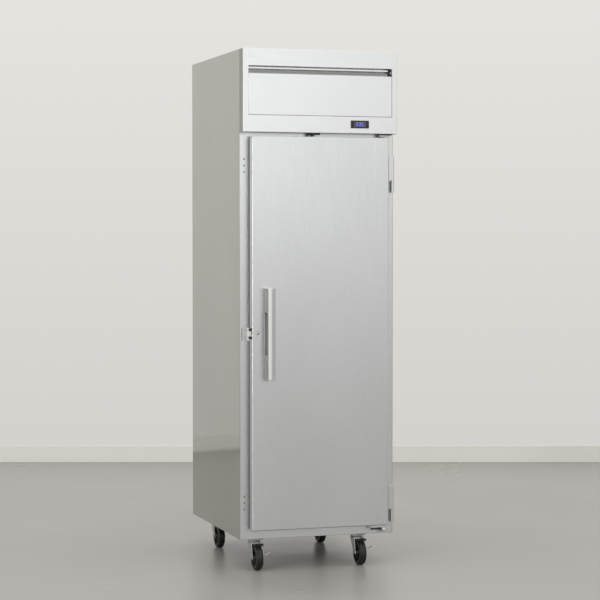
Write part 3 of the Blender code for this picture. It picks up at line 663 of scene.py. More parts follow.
# %% Air slot blades
def blade(name, low, high, lean):
    """A long strip whose lower front edge is drawn back, so its face leans over the slot."""
    made = block(name, low, high)
    with editing(made, "EDGE"):
        pick(made, lambda edge: abs(along(edge).x) > 0.9 and middle(edge).y < (low[1] + high[1]) / 2
             and middle(edge).z < (low[2] + high[2]) / 2, "edges")
        bpy.ops.transform.translate(value=(0, lean, 0))
    return soften(made, 0.8 * MM)


slot_left, slot_right = grille_low.x, grille_high.x
base = grille_low.z
lower = blade("lower_blade", (slot_left, grille_low.y - 1 * MM, base - 0.6 * MM),
              (slot_right, grille_low.y + 17 * MM, base + 10.5 * MM), 3.5 * MM)
post = slab("slot_post", (slot_left, grille_low.y, base),
            (slot_left + 2 * MM, grille_high.y, grille_high.z), 0.4 * MM)
finish_piece(join("lower_air_blade", lower, post), "blade", "cabinet", "louvre_grille",
             slot="anodised")
upper = blade("upper_air_blade", (slot_left, grille_low.y - 2 * MM, base + 17.5 * MM),
              (slot_right, grille_low.y + 17 * MM, base + 24.5 * MM), 0.3 * MM)
finish_piece(upper, "stainless_across", "cabinet", slot="stainless")

# %% Slot end block and baffle
# A black moulded latch block fills the right end of the slot, with a zinc catch in it, and a
# galvanised baffle behind the blades hides the coil.
end_block = block("slot_latch_block", (slot_right + 0.8 * MM, grille_low.y + 1 * MM, base + 0.5 * MM),
                  (panel_high.x - 0.6 * MM, grille_high.y, grille_high.z))
dish(end_block, (0, -1, 0), 3 * MM, (0, 4 * MM, 0))
soften(end_block, 0.7 * MM)
finish_piece(end_block, "black_plastic", "cabinet")
catch = slab("slot_latch_catch", (panel_high.x - 6.5 * MM, grille_low.y + 1.5 * MM, base + 9 * MM),
             (panel_high.x - 2 * MM, grille_low.y + 8 * MM, base + 19 * MM), 1 * MM)
finish_piece(catch, "zinc", "cabinet")
baffle = slab("slot_baffle", (slot_left, grille_high.y + 1 * MM, base - 4 * MM),
              (panel_high.x, grille_high.y + 3 * MM, grille_high.z + 6 * MM), 0.5 * MM)
finish_piece(baffle, "galvanised", "cabinet")

# %% [markdown]
# ## Temperature controller
# A standard panel controller: a slim rounded bezel, a smoked lens, three lit digits with a
# decimal point, small status marks and two keys at each end. The digits are seven-segment bars,
# modelled one by one with pointed ends and then placed in a row.

# %% Bezel and lens
bezel_front, bezel_back = bezel_low.y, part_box("header_hood")[0].y - 0.2 * MM
centre_x, centre_z = (bezel_low.x + bezel_high.x) / 2, (bezel_low.z + bezel_high.z) / 2
bezel = block("controller_bezel", (bezel_low.x, bezel_front, bezel_low.z),
              (bezel_high.x, bezel_back, bezel_high.z))
round_corners(bezel, "y", 2.2 * MM)
with editing(bezel):
    pick(bezel, faces_to(0, -1, 0))
    bpy.ops.mesh.inset(thickness=1.6 * MM)
    bpy.ops.transform.translate(value=(0, -0.01 * MM, 0))
    bpy.ops.mesh.inset(thickness=0.3 * MM)
    bpy.ops.transform.translate(value=(0, 0.9 * MM, 0))
soften(bezel, 0.4 * MM)
housing = slab("controller_housing", (centre_x - 36 * MM, bezel_back, centre_z - 12.7 * MM),
               (centre_x + 36 * MM, bezel_high.y, centre_z + 12.7 * MM), 1.2 * MM)
finish_piece(join("controller_case", bezel, housing), "bezel", "cabinet", "controller",
             slot="black_plastic")
LENS_FACE = bezel_front + 0.55 * MM
lens = slab("controller_lens", (centre_x - 26 * MM, LENS_FACE, centre_z - 11.5 * MM),
            (centre_x + 26 * MM, LENS_FACE + 1.2 * MM, centre_z + 11.5 * MM), 0.4 * MM)
finish_piece(lens, "lens", "cabinet", slot="black_plastic")

# %% Digits
DIGIT_TALL, DIGIT_WIDE, BAR = 13.5 * MM, 7.2 * MM, 1.9 * MM
SEGMENTS = {"0": "abcdef", "3": "abcdg", "5": "acdfg"}


def segment(letter):
    """Place and direction of one bar of the figure eight, from its middle."""
    across, up = DIGIT_WIDE / 2, DIGIT_TALL / 2
    return {"a": (0, up, "X"), "g": (0, 0, "X"), "d": (0, -up, "X"), "b": (across, up / 2, "Z"),
            "c": (across, -up / 2, "Z"), "f": (-across, up / 2, "Z"), "e": (-across, -up / 2, "Z")}[letter]


def bar(place, long, axis):
    """One thin bar with cut corners, centred at place."""
    size = Vector((long, 0.5 * MM, BAR)) if axis == "X" else Vector((BAR, 0.5 * MM, long))
    made = block("segment", Vector(place) - size / 2, Vector(place) + size / 2)
    round_corners(made, "y", 0.6 * MM, 1)
    return made


bars = []
for number, digit in enumerate("035"):
    middle_x = centre_x - 12.4 * MM + number * 11.6 * MM
    for letter in SEGMENTS[digit]:
        across, up, axis = segment(letter)
        long = (DIGIT_WIDE if axis == "X" else DIGIT_TALL / 2) - 1.0 * MM
        bars.append(bar((middle_x + across, LENS_FACE - 0.1 * MM, centre_z + 1 * MM + up), long, axis))
bars.append(bar((centre_x + 5 * MM, LENS_FACE - 0.1 * MM, centre_z - 6 * MM), 1.9 * MM, "X"))
finish_piece(join("controller_digits", *bars), "segments", "cabinet", slot="black_plastic")

# %% Status marks
marks = [bar((centre_x + x * MM, LENS_FACE - 0.1 * MM, centre_z + z * MM), long * MM, "X")
         for x, z, long in ((22.5, 7.5, 3.6), (-22.5, -7.8, 3.0), (19.5, -8.6, 2.4))]
finish_piece(join("controller_marks", *marks), "icon", "cabinet", slot="black_plastic")

# %% Keys
for number in range(1, 5):
    low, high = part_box(f"controller_key_{number}")
    key = block(f"controller_key_cap_{number}", low, high)
    dish(key, (0, -1, 0), 1.6 * MM, (0, 0.35 * MM, 0))
    soften(key, 0.6 * MM)
    finish_piece(key, "bezel", f"key_{number}", f"controller_key_{number}", slot="black_plastic")

# %% [markdown]
# ## Door
# The door skin is a shallow folded pan with rounded front edges; the left edge shows as a thin
# bright line. Its inner pan and the gasket are seen when it is open. The gasket is an extruded
# vinyl profile: a magnet channel on top of a soft bellows, mitred at the corners.

# %% Door skin
low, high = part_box("door_skin")
skin = fold(block("door_outer_skin", low, high), [(0, 1, 0)], 4 * MM, segments=4)
lock_low, lock_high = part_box("lock_cylinder")
lock_x, lock_z = (lock_low.x + lock_high.x) / 2, (lock_low.z + lock_high.z) / 2
bolt_low, bolt_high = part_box("lock_bolt")
cut(skin, rod("cylinder_cutter", (lock_x, low.y, lock_z), 9.6 * MM, 0.03, "Y", 32),
    block("bolt_cutter", (low.x - 0.01, bolt_low.y - 1 * MM, bolt_low.z - 1 * MM),
          (low.x + 0.01, bolt_high.y + 1 * MM, bolt_high.z + 1 * MM)))
smooth(skin)
finish_piece(skin, "stainless", "door", "door_skin")

# %% Inner pan
low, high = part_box("door_pan")
gasket_low, gasket_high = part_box("door_gasket")
pan = block("door_inner_pan", low, (high.x, gasket_low.y - 0.3 * MM, high.z))
with editing(pan):
    pick(pan, faces_to(0, 1, 0))
    bpy.ops.mesh.inset(thickness=38 * MM)
    bpy.ops.mesh.extrude_region_move(TRANSFORM_OT_translate={"value": (0, high.y - gasket_low.y, 0)})
    bpy.ops.mesh.inset(thickness=34 * MM)
    bpy.ops.mesh.inset(thickness=7 * MM)
    bpy.ops.transform.translate(value=(0, -6 * MM, 0))
soften(pan, 3 * MM, 3, 25)
finish_piece(pan, "liner", "door", "door_pan")

# %% Gasket
seal = block("door_gasket_profile", gasket_low, gasket_high)
with editing(seal):
    pick(seal, lambda face: abs(face.normal.y) > 0.9)
    bpy.ops.mesh.inset(thickness=23.7 * MM)
with editing(seal):
    pick(seal, lambda face: abs(face.normal.y) > 0.9 and abs(face.calc_center_median().x) < 0.01
         and abs(face.calc_center_median().z - (gasket_low.z + gasket_high.z) / 2) < 0.01)
    bpy.ops.mesh.bridge_edge_loops()
with editing(seal):
    pick(seal, faces_to(0, 1, 0))
    bpy.ops.mesh.inset(thickness=5 * MM, use_boundary=True)
    bpy.ops.transform.translate(value=(0, -2.4 * MM, 0))
    bpy.ops.mesh.inset(thickness=3 * MM, use_boundary=True)
    bpy.ops.transform.translate(value=(0, 2.4 * MM, 0))
soften(seal, 1.2 * MM, 3, 25)
finish_piece(seal, "gasket", "door", "door_gasket")

# %% [markdown]
# ## Pull handle
# The pull is a pressed and bent bar with a trapezoid section: a steep left web with a finger
# window, a narrow flat front and a longer sloping right web. It starts as a block; its front
# edges are drawn in to the section, then the hollow and the window are cut.

# %% Pull handle
low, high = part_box("handle")
BACK_Y, FRONT_Y = high.y, low.y


def section_bar(name, corners, low_z, high_z):
    """A block whose four upright edges are put on the corners of a section."""
    made = block(name, (corners[0][0], corners[1][1], low_z), (corners[3][0], corners[0][1], high_z))
    with editing(made, "VERT"):
        mesh = bmesh.from_edit_mesh(made.data)
        for vertex in mesh.verts:
            left = vertex.co.x < (corners[0][0] + corners[3][0]) / 2
            front = vertex.co.y < (corners[0][1] + corners[1][1]) / 2
            vertex.co.x = corners[(1 if front else 0) if left else (2 if front else 3)][0]
        bmesh.update_edit_mesh(made.data)
    return made


SECTION = ((low.x, BACK_Y), (low.x + 7 * MM, FRONT_Y), (low.x + 23.7 * MM, FRONT_Y), (high.x, BACK_Y))
HOLLOW = ((low.x + 3 * MM, BACK_Y + 5 * MM), (low.x + 9.5 * MM, FRONT_Y + 2.5 * MM),
          (low.x + 22 * MM, FRONT_Y + 2.5 * MM), (high.x - 5 * MM, BACK_Y + 5 * MM))
pull = section_bar("pull_handle", SECTION, low.z, high.z)
with editing(pull, "EDGE"):
    pick(pull, lambda edge: middle(edge).y < FRONT_Y + 1 * MM, "edges")
    bpy.ops.mesh.bevel(offset=4.2 * MM, segments=6, affect="EDGES")
core = section_bar("pull_hollow", HOLLOW, low.z + 2.5 * MM, high.z - 2.5 * MM)
finger = block("finger_window", (low.x - 0.01, FRONT_Y + 8 * MM, 899.5 * MM),
               (low.x + 11 * MM, BACK_Y - 6 * MM, 1073 * MM))
round_corners(finger, "x", 5 * MM)
cut(pull, core, finger)
soften(pull, 0.5 * MM, 2, 50)
# Painted highlight on the pull's outer faces, and painted shade on its left flank below.
finish_piece(pull, "painted_highlight_pull", "door", "handle")
second_finish(pull, "painted_shade_flank", lambda face: face.normal.x < -0.5 and face.normal.y < 0)

# %% [markdown]
# ## Lock and strike
# A cam lock sits left of the pull: a turned ring round the cylinder, a keyway, and a square bolt
# that leaves the door's edge through the tongue of a bent strike on the stile. Two rubber pads
# sit above and below the tongue and stop the door from rattling.

# %% Lock ring and cylinder
skin_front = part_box("door_skin")[0].y
ring = rod("lock_ring", (lock_x, skin_front - 0.9 * MM, lock_z), 12 * MM, 1.8 * MM, "Y", 40)
dish(ring, (0, -1, 0), 2.6 * MM, (0, 0.8 * MM, 0))
soften(ring, 0.5 * MM)
finish_piece(ring, "stainless", "door")
low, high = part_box("lock_cylinder")
plug = rod("lock_cylinder_plug", (lock_x, (low.y + high.y) / 2, lock_z), (high.x - low.x) / 2,
           high.y - low.y, "Y", 40)
cut(plug, block("keyway_cutter", (lock_x - 1.2 * MM, low.y - 0.01, lock_z - 4 * MM),
                (lock_x + 1.2 * MM, low.y + 5 * MM, lock_z + 4 * MM)))
soften(plug, 0.5 * MM)
finish_piece(plug, "stainless", "lock_plug", "lock_cylinder", slot="zinc")
keyway = soften(rod("keyway_shutter", (lock_x, low.y + 0.2 * MM, lock_z), 3.4 * MM, 1.4 * MM, "Y", 24),
                0.3 * MM)
finish_piece(keyway, "black_plastic", "lock_plug", slot="black_plastic")

# %% Lock case and bolt
for name, node, body in (("lock_case", "lock_body", "door"), ("square_bolt", "lock_bolt", "bolt")):
    low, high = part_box(node)
    made = block(name, low, high)
    dish(made, (-1, 0, 0), 1.2 * MM, (0.3 * MM, 0, 0))
    if node == "lock_body":
        cut(made, rod("bore_cutter", (lock_x, low.y, lock_z), 9.5 * MM, 17 * MM, "Y", 32),
            block("bolt_way", (low.x - 0.01, bolt_low.y - 0.5 * MM, bolt_low.z - 0.5 * MM),
                  (high.x - 4 * MM, bolt_high.y + 0.5 * MM, bolt_high.z + 0.5 * MM)))
    finish_piece(soften(made, 0.6 * MM), "zinc", body, node)


# %% Screws
def screw(name, place, axis, radius=3.4 * MM, height=1.6 * MM):
    """A pan-head screw with a cross recess; axis is the way it faces, as a signed letter."""
    way = Vector({"X": (1, 0, 0), "Y": (0, 1, 0), "Z": (0, 0, 1)}[axis[-1]])
    if axis[0] == "-":
        way = -way
    head = rod(name, (0, 0, height / 2), radius, height, "Z", 16, tip=radius * 0.72)
    slots = [block("recess", (-radius * a, -radius * b, height * 0.45), (radius * a, radius * b, height * 2))
             for a, b in ((0.5, 0.13), (0.13, 0.5))]
    cut(head, *slots)
    head.data.transform(Matrix.Translation(place) @ way.to_track_quat("Z", "Y").to_matrix().to_4x4())
    return smooth(head)


def screws(name, places, axis, body, finish="zinc", **size):
    """One screw, modelled once and copied to every place."""
    first = screw(name, places[0], axis, **size)
    rest = [shifted(first, Vector(place) - Vector(places[0])) for place in places[1:]]
    return finish_piece(join(name, first, *rest), finish, body)


# %% Strike
low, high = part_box("strike_bracket")
plate = slab("strike_plate", (low.x, high.y - 2 * MM, low.z), (-303 * MM, high.y, high.z), 0.6 * MM)
flange = slab("strike_flange", (-305 * MM, FACE - 20 * MM, low.z),
              (-303 * MM, FACE - 1 * MM, high.z), 0.6 * MM)
tongue = block("strike_tongue", (-305 * MM, low.y, 975 * MM), (-303 * MM, FACE - 19 * MM, 994 * MM))
cut(tongue, block("tongue_cutter", (-0.31, bolt_low.y - 1 * MM, bolt_low.z - 1 * MM),
                  (-0.298, bolt_high.y + 1 * MM, bolt_high.z + 1 * MM)))
soften(tongue, 0.6 * MM)
front_lip = slab("strike_lip", (-306.5 * MM, FACE - 21.2 * MM, low.z),
                 (-299.5 * MM, FACE - 19.4 * MM, high.z), 0.6 * MM)
finish_piece(plate, "stainless", "cabinet", "strike_bracket", slot="stainless")
# Painted shade: a thin dark strip along the plate's left edge stands in for the shadowed gap there.
edge_shade_strip = slab("strike_edge_painted_shade", (low.x - 0.2 * MM, high.y - 2.4 * MM, low.z),
            (low.x + 1.6 * MM, high.y, high.z), 0.6 * MM)
finish_piece(edge_shade_strip, "gasket", "cabinet")
# Painted highlight: the bent flange, tongue and lip take the near-white painted glint.
finish_piece(join("strike_bent_flange", flange, tongue, front_lip), "painted_zinc_glint", "cabinet",
             slot="stainless")
screws("strike_screws", [(-0.3165, low.y + 55.6 * MM, z * MM) for z in (963, 999)], "-Y", "cabinet",
       "stainless", radius=3.2 * MM, height=1.2 * MM)
pads = []
for z in (962, 996):
    pads.append(slab("strike_pad", (-302.6 * MM, FACE - 50 * MM, z * MM),
                     (-299.6 * MM, FACE - 27 * MM, (z + 11) * MM), 0.8 * MM))
    pads.append(slab("pad_stem", (-304.6 * MM, FACE - 29 * MM, (z + 2) * MM),
                     (-300 * MM, FACE - 19 * MM, (z + 9) * MM), 0.8 * MM))
finish_piece(join("strike_pads", *pads), "dark_rubber", "cabinet", slot="gasket")

# %% [markdown]
# ## Hinges and stay
# Each hinge has a leaf on the cabinet with the lower knuckle and pin, and a wing on the door's
# edge with the upper knuckle. The knuckles are rolled from the leaf, so they keep a small gap.
# Under the door, a black stay arm turns on the cabinet and its pin follows a curved slot.

# %% Hinge leaves
AXIS = Vector((0.321, FACE - 35 * MM, 0))
WING_SPANS = {"top": (1618 * MM, 1719 * MM), "bottom": (233 * MM, 334 * MM)}
for where in ("top", "bottom"):
    leaf_low, leaf_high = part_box(f"hinge_{where}_cabinet")
    split = WING_SPANS[where][0]
    leaf = block("leaf", (leaf_low.x, leaf_high.y - 3 * MM, leaf_low.z), leaf_high)
    round_corners(leaf, "y", 3 * MM)
    soften(leaf, 0.5 * MM)
    web = slab("web", (AXIS.x - 5 * MM, AXIS.y, leaf_low.z + 1 * MM),
               (AXIS.x + 5 * MM, leaf_high.y - 2 * MM, split - 2 * MM), 1 * MM)
    knuckle = soften(rod("knuckle", (AXIS.x, AXIS.y, (leaf_low.z + split - 1 * MM) / 2), 7.5 * MM,
                         split - 1 * MM - leaf_low.z, sides=32), 1 * MM)
    pin = soften(rod("pin", (AXIS.x, AXIS.y, split + 28 * MM), 3.5 * MM, 62 * MM, sides=20), 0.6 * MM)
    finish_piece(join(f"hinge_{where}_leaf", leaf, web, knuckle, pin), "stainless", "cabinet",
                 f"hinge_{where}_cabinet")
    heights = (leaf_low.z + 14 * MM, (leaf_low.z + leaf_high.z) / 2, leaf_high.z - 14 * MM)
    screws(f"hinge_{where}_leaf_screws", [(leaf_low.x + 5 * MM, leaf_high.y - 3 * MM, z) for z in heights],
           "-Y", "cabinet", radius=3 * MM)

# %% Hinge wings
for where in ("top", "bottom"):
    split, top = WING_SPANS[where]
    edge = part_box("door_skin")[1].x + 0.3 * MM
    knuckle = rod("knuckle", (AXIS.x, AXIS.y, (split + top) / 2), 7.5 * MM, top - split, sides=32)
    cut(knuckle, rod("bore", (AXIS.x, AXIS.y, split + 25 * MM), 4 * MM, 80 * MM, sides=20))
    soften(knuckle, 0.9 * MM)
    arm = slab("arm", (edge, AXIS.y - 7 * MM, split + 1 * MM),
               (AXIS.x - 3 * MM, AXIS.y + 2 * MM, top - 1 * MM), 1 * MM)
    foot = block("foot", (edge, FACE - 53 * MM, split), (edge + 3 * MM, FACE - 24 * MM, top))
    round_corners(foot, "x", 3 * MM)
    soften(foot, 0.5 * MM)
    pieces = [knuckle, arm, foot]
    if where == "bottom":
        source = shifted(frame["nodes"]["hinge_bottom_door"], (0, 0, 0), "track_copy")
        source.parent = None
        with editing(source):
            bpy.ops.mesh.select_all(action="SELECT")
            bpy.ops.mesh.remove_doubles(threshold=0.00001)
            pick(source, lambda face: face.calc_center_median().z > 182 * MM)
            bpy.ops.mesh.delete(type="FACE")
        pieces.append(smooth(source))
    finish_piece(join(f"hinge_{where}_wing", *pieces), "stainless", "door", f"hinge_{where}_door")
    screws(f"hinge_{where}_wing_screws", [(edge + 3 * MM, FACE - 48 * MM, split + z * MM)
                                          for z in (16, 50, 84)], "X", "door", radius=2.8 * MM,
           height=1.2 * MM)

# %% Stay bracket and arm
low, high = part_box("stay_bracket")
PIVOT = Vector((0.283, FACE - 40 * MM, 0))
plate = slab("stay_plate", (low.x, high.y - 2.5 * MM, low.z), high, 0.8 * MM)
shelf = slab("stay_shelf", (PIVOT.x - 9 * MM, PIVOT.y - 9 * MM, 143 * MM),
             (PIVOT.x + 12 * MM, high.y - 1.7 * MM, 147 * MM), 1 * MM)
stud = soften(rod("stay_stud", (PIVOT.x, PIVOT.y, 151 * MM), 4 * MM, 12 * MM, sides=20), 0.5 * MM)
finish_piece(join("stay_mount", plate, shelf, stud), "zinc", "cabinet", "stay_bracket")
bush = rod("stay_bush", (PIVOT.x, PIVOT.y, 153.2 * MM), 9.4 * MM, 11.2 * MM, sides=32)
dish(bush, (0, 0, 1), 3 * MM, (0, 0, 0.8 * MM))
finish_piece(soften(bush, 1 * MM), "white_nylon", "stay", slot="lamp_diffuser")
tail = slab("stay_tail", (PIVOT.x + 6 * MM, PIVOT.y - 3 * MM, 155.5 * MM),
            (0.303, PIVOT.y + 3 * MM, 158.5 * MM), 0.8 * MM)
# Painted highlight: the tail bar takes the near-white painted glint.
finish_piece(tail, "painted_zinc_glint", "cabinet", slot="stainless")
arm = shifted(frame["nodes"]["stay_arm"], (0, 0, 0), "stay_arm_bar")
arm.parent = None
with editing(arm):
    bpy.ops.mesh.select_all(action="SELECT")
    bpy.ops.mesh.remove_doubles(threshold=0.00001)
    bpy.ops.mesh.dissolve_limited(angle_limit=math.radians(1))
soften(arm, 0.8 * MM, 2, 50)
finish_piece(arm, "black_steel", "stay", "stay_arm")

# %% Door switch and latch plate under the hood
low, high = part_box("door_switch")
switch = block("door_switch_case", low, high)
round_corners(switch, "z", 3 * MM, 3)
cut(switch, block("plunger_cutter", (low.x + 2 * MM, low.y + 3 * MM, low.z - 0.01),
                  (low.x + 16 * MM, high.y - 3 * MM, high.z - 1 * MM)))
finish_piece(soften(switch, 0.5 * MM), "black_plastic", "cabinet", "door_switch")
low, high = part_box("switch_plunger")
plunger = block("switch_plunger_cap", low, high)
with editing(plunger):
    pick(plunger, faces_to(0, 0, -1))
    bpy.ops.mesh.inset(thickness=2.5 * MM)
finish_piece(soften(plunger, 1.2 * MM, 3), "black_plastic", "lamp_plunger", "switch_plunger")
hood_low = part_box("header_hood")[0].z
STOP_LEFT, STOP_RIGHT = 264 * MM, 313 * MM
keeper = slab("hood_stop_pad", (STOP_LEFT, FACE - 50 * MM, hood_low - 4.5 * MM),
              (STOP_RIGHT, FACE - 44 * MM, hood_low - 0.4 * MM), 1 * MM)
finish_piece(keeper, "dark_rubber", "cabinet", slot="gasket")
wedge = block("hood_stop_plate", (STOP_LEFT, FACE - 43 * MM, hood_low - 12 * MM),
              (STOP_RIGHT, FACE - 24 * MM, hood_low - 0.4 * MM))
with editing(wedge, "EDGE"):
    pick(wedge, lambda edge: abs(along(edge).y) > 0.9 and middle(edge).x > 0.3
         and middle(edge).z < hood_low - 6 * MM, "edges")
    bpy.ops.transform.translate(value=(-14 * MM, 0, 0))
finish_piece(soften(wedge, 1 * MM), "blade", "cabinet", slot="stainless")

# %% [markdown]
# ## Casters
# Four swivel casters on bolted plates; the front two have a foot brake. The plate is pressed
# steel with four bolts, the fork is bent from one strip, and the wheel is a cast hub with a
# polyurethane tread. The wheel is turned: its half section is spun round the axle.


# %% Wheel
def turned(name, section, centre, axis="X", steps=40):
    """Spin a half section, given as (along the axis, radius) points, round an axis."""
    mesh = bpy.data.meshes.new(name)
    place = {"X": lambda a, r: (a, 0, r), "Y": lambda a, r: (0, a, r), "Z": lambda a, r: (r, 0, a)}[axis]
    mesh.from_pydata([place(a, r) for a, r in section],
                     [(at, (at + 1) % len(section)) for at in range(len(section))], [])
    made = bpy.data.objects.new(name, mesh)
    bpy.context.scene.collection.objects.link(made)
    way = {"X": (1, 0, 0), "Y": (0, 1, 0), "Z": (0, 0, 1)}[axis]
    with editing(made, "VERT"):
        bpy.ops.mesh.select_all(action="SELECT")
        bpy.ops.mesh.spin(steps=steps, angle=2 * math.pi, center=(0, 0, 0), axis=way)
        bpy.ops.mesh.select_all(action="SELECT")
        bpy.ops.mesh.remove_doubles(threshold=0.00001)
        bpy.ops.mesh.normals_make_consistent(inside=False)
    made.data.transform(Matrix.Translation(centre))
    return smooth(made, 30)


TREAD_SECTION = [(-15, 36), (-15, 44), (-14, 47.5), (-11.5, 50), (-7, 50.9), (0, 51), (7, 50.9),
                 (11.5, 50), (14, 47.5), (15, 44), (15, 36), (12, 35.5), (12, 33.5), (-12, 33.5), (-12, 35.5)]
HUB_SECTION = [(-16.5, 5.6), (-16.5, 11), (-14.5, 13), (-7, 15), (-5, 17), (-5, 29), (-8, 32), (-12, 33.4),
               (-12, 33.6), (12, 33.6), (12, 33.4), (8, 32), (5, 29), (5, 17), (7, 15), (14.5, 13),
               (16.5, 11), (16.5, 5.6)]


def scaled(section):
    """A half section given in millimetres, in metres."""
    return [(across * MM, radius * MM) for across, radius in section]


CORNERS = ("front_left", "front_right", "rear_left", "rear_right")
for corner in CORNERS:
    low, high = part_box(f"caster_wheel_{corner}")
    centre = (low + high) / 2
    tyre = turned(f"caster_tread_{corner}", scaled(TREAD_SECTION), centre, steps=48)
    finish_piece(tyre, "tread", f"wheel_{corner}", f"caster_wheel_{corner}")
    hub = turned(f"caster_hub_{corner}", scaled(HUB_SECTION), centre, steps=32)
    ribs = []
    for side in (-1, 1):
        rib = block("hub_rib", (centre.x + side * 9 * MM - 4 * MM, centre.y - 1.6 * MM, centre.z + 14 * MM),
                    (centre.x + side * 9 * MM + 4 * MM, centre.y + 1.6 * MM, centre.z + 32.5 * MM))
        ribs += spun(soften(rib, 0.7 * MM), 6, centre, "X")
    finish_piece(join(f"caster_hub_{corner}", hub, *ribs), "black_plastic", f"wheel_{corner}")

# %% [markdown]
# ### Plates and races
# Each caster bolts to the base through a pressed plate with rounded corners. Under it a ball
# race, turned as one ring, lets the fork swivel. The plate is a block with its upright edges
# bevelled; the race is a half section spun round the king pin.

# %% Plates and races
for corner in CORNERS:
    low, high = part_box(f"caster_plate_{corner}")
    middle_x, middle_y = (low.x + high.x) / 2, (low.y + high.y) / 2
    plate = block("plate", (low.x, low.y, high.z - 3.2 * MM), high)
    round_corners(plate, "z", 6 * MM)
    soften(plate, 0.6 * MM)
    race = turned("race", scaled([(114.6, 8), (114.6, 23), (116, 24.5), (120, 24.5), (122, 22), (124, 21),
                                  (124, 8)]), (middle_x, middle_y, 0), "Z", 32)
    bolts = []
    for x in (-22, 22):
        for y in (-26, 26):
            bolts.append(soften(rod("bolt", (middle_x + x * MM, middle_y + y * MM, high.z - 5.4 * MM),
                                    5 * MM, 4.4 * MM, sides=6), 0.5 * MM))
    finish_piece(join(f"caster_top_plate_{corner}", plate, race, *bolts), "zinc", "cabinet",
                 f"caster_plate_{corner}")

# %% [markdown]
# ### Forks with axle bolt and nut
# The fork is one bent strip: a round crown, a shoulder and two legs that trail back to the
# axle. Each leg starts as a block; its edges are moved to slant it, then the foot is rounded.
# The fork rides on the swivel and the wheel on the fork, so the axle bolt stays with the fork.
# A dark guard, cut from a ring round the wheel, covers the brake of the front pair.

# %% Forks with axle bolt and nut
for corner in CORNERS:
    low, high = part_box(f"caster_fork_{corner}")
    plate_low, plate_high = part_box(f"caster_plate_{corner}")
    wheel_low, wheel_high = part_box(f"caster_wheel_{corner}")
    middle_x = (plate_low.x + plate_high.x) / 2
    king_y = (plate_low.y + plate_high.y) / 2
    axle = (wheel_low + wheel_high) / 2
    crown = rod("crown", (middle_x, king_y, 111.6 * MM), 24.5 * MM, 3.4 * MM, sides=36)
    shoulder = block("shoulder", (middle_x - 21 * MM, king_y - 27 * MM, 109.9 * MM),
                     (middle_x + 21 * MM, king_y + 18 * MM, 113.3 * MM))
    legs = []
    for side in (-1, 1):
        leg = block("leg", (middle_x + side * 21 * MM - 1.5 * MM, axle.y - 12 * MM, 42 * MM),
                    (middle_x + side * 21 * MM + 1.5 * MM, king_y + 20 * MM, 113.3 * MM))
        with editing(leg, "EDGE"):
            pick(leg, lambda e: abs(along(e).x) > 0.9 and middle(e).z < 60 * MM and middle(e).y > king_y,
                 "edges")
            bpy.ops.transform.translate(value=(0, axle.y + 12 * MM - (king_y + 20 * MM), 0))
            pick(leg, lambda e: abs(along(e).x) > 0.9 and middle(e).z > 90 * MM
                 and middle(e).y < king_y - 20 * MM, "edges")
            bpy.ops.transform.translate(value=(0, king_y - 30 * MM - (axle.y - 12 * MM), 0))
            pick(leg, lambda e: abs(along(e).x) > 0.9 and middle(e).z < 60 * MM, "edges")
            bpy.ops.mesh.bevel(offset=7 * MM, segments=4, affect="EDGES")
        legs.append(soften(leg, 0.8 * MM, 2, 50))
    bolt = soften(rod("axle_bolt", axle, 5 * MM, 46 * MM, "X", 20), 0.5 * MM)
    nuts = [soften(rod("axle_nut", (axle.x + side * 24.4 * MM, axle.y, axle.z), 7.4 * MM, 4.6 * MM, "X", 6),
                   0.8 * MM) for side in (-1, 1)]
    crown = soften(crown, 0.8 * MM)
    finish_piece(join(f"caster_bent_fork_{corner}", crown, soften(shoulder, 0.8 * MM), bolt, *legs, *nuts),
                 "zinc", f"fork_{corner}", f"caster_fork_{corner}")
    if corner.startswith("front"):
        shield = rod("brake_shield", (middle_x + 4 * MM, axle.y, axle.z), 58 * MM, 40 * MM, "X", 48)
        cut(shield, rod("wheel_room", (middle_x, axle.y, axle.z), 53 * MM, 0.09, "X", 48),
            block("below", (middle_x - 0.1, axle.y - 0.1, -0.02), (middle_x + 0.1, axle.y + 0.1, 88 * MM)),
            block("before", (middle_x - 0.1, axle.y - 0.1, 0.01), (middle_x + 0.1, axle.y - 16 * MM, 0.2)))
        flap = block("brake_flap", (middle_x + 22.6 * MM, king_y - 33 * MM, 84 * MM),
                     (middle_x + 26 * MM, king_y + 8 * MM, 109 * MM))
        round_corners(flap, "x", 7 * MM)
        finish_piece(join(f"brake_shield_{corner}", soften(shield, 0.8 * MM, 2, 50),
                          soften(flap, 1 * MM, 2, 50)), "black_steel", f"fork_{corner}")

# %% [markdown]
# ### Brake levers
# The pedal is a thin pressed strip that kicks up at its end, with a rolled edge for the foot.
# A strip is bisected, its outer part lifted, and a rod closes the edge.

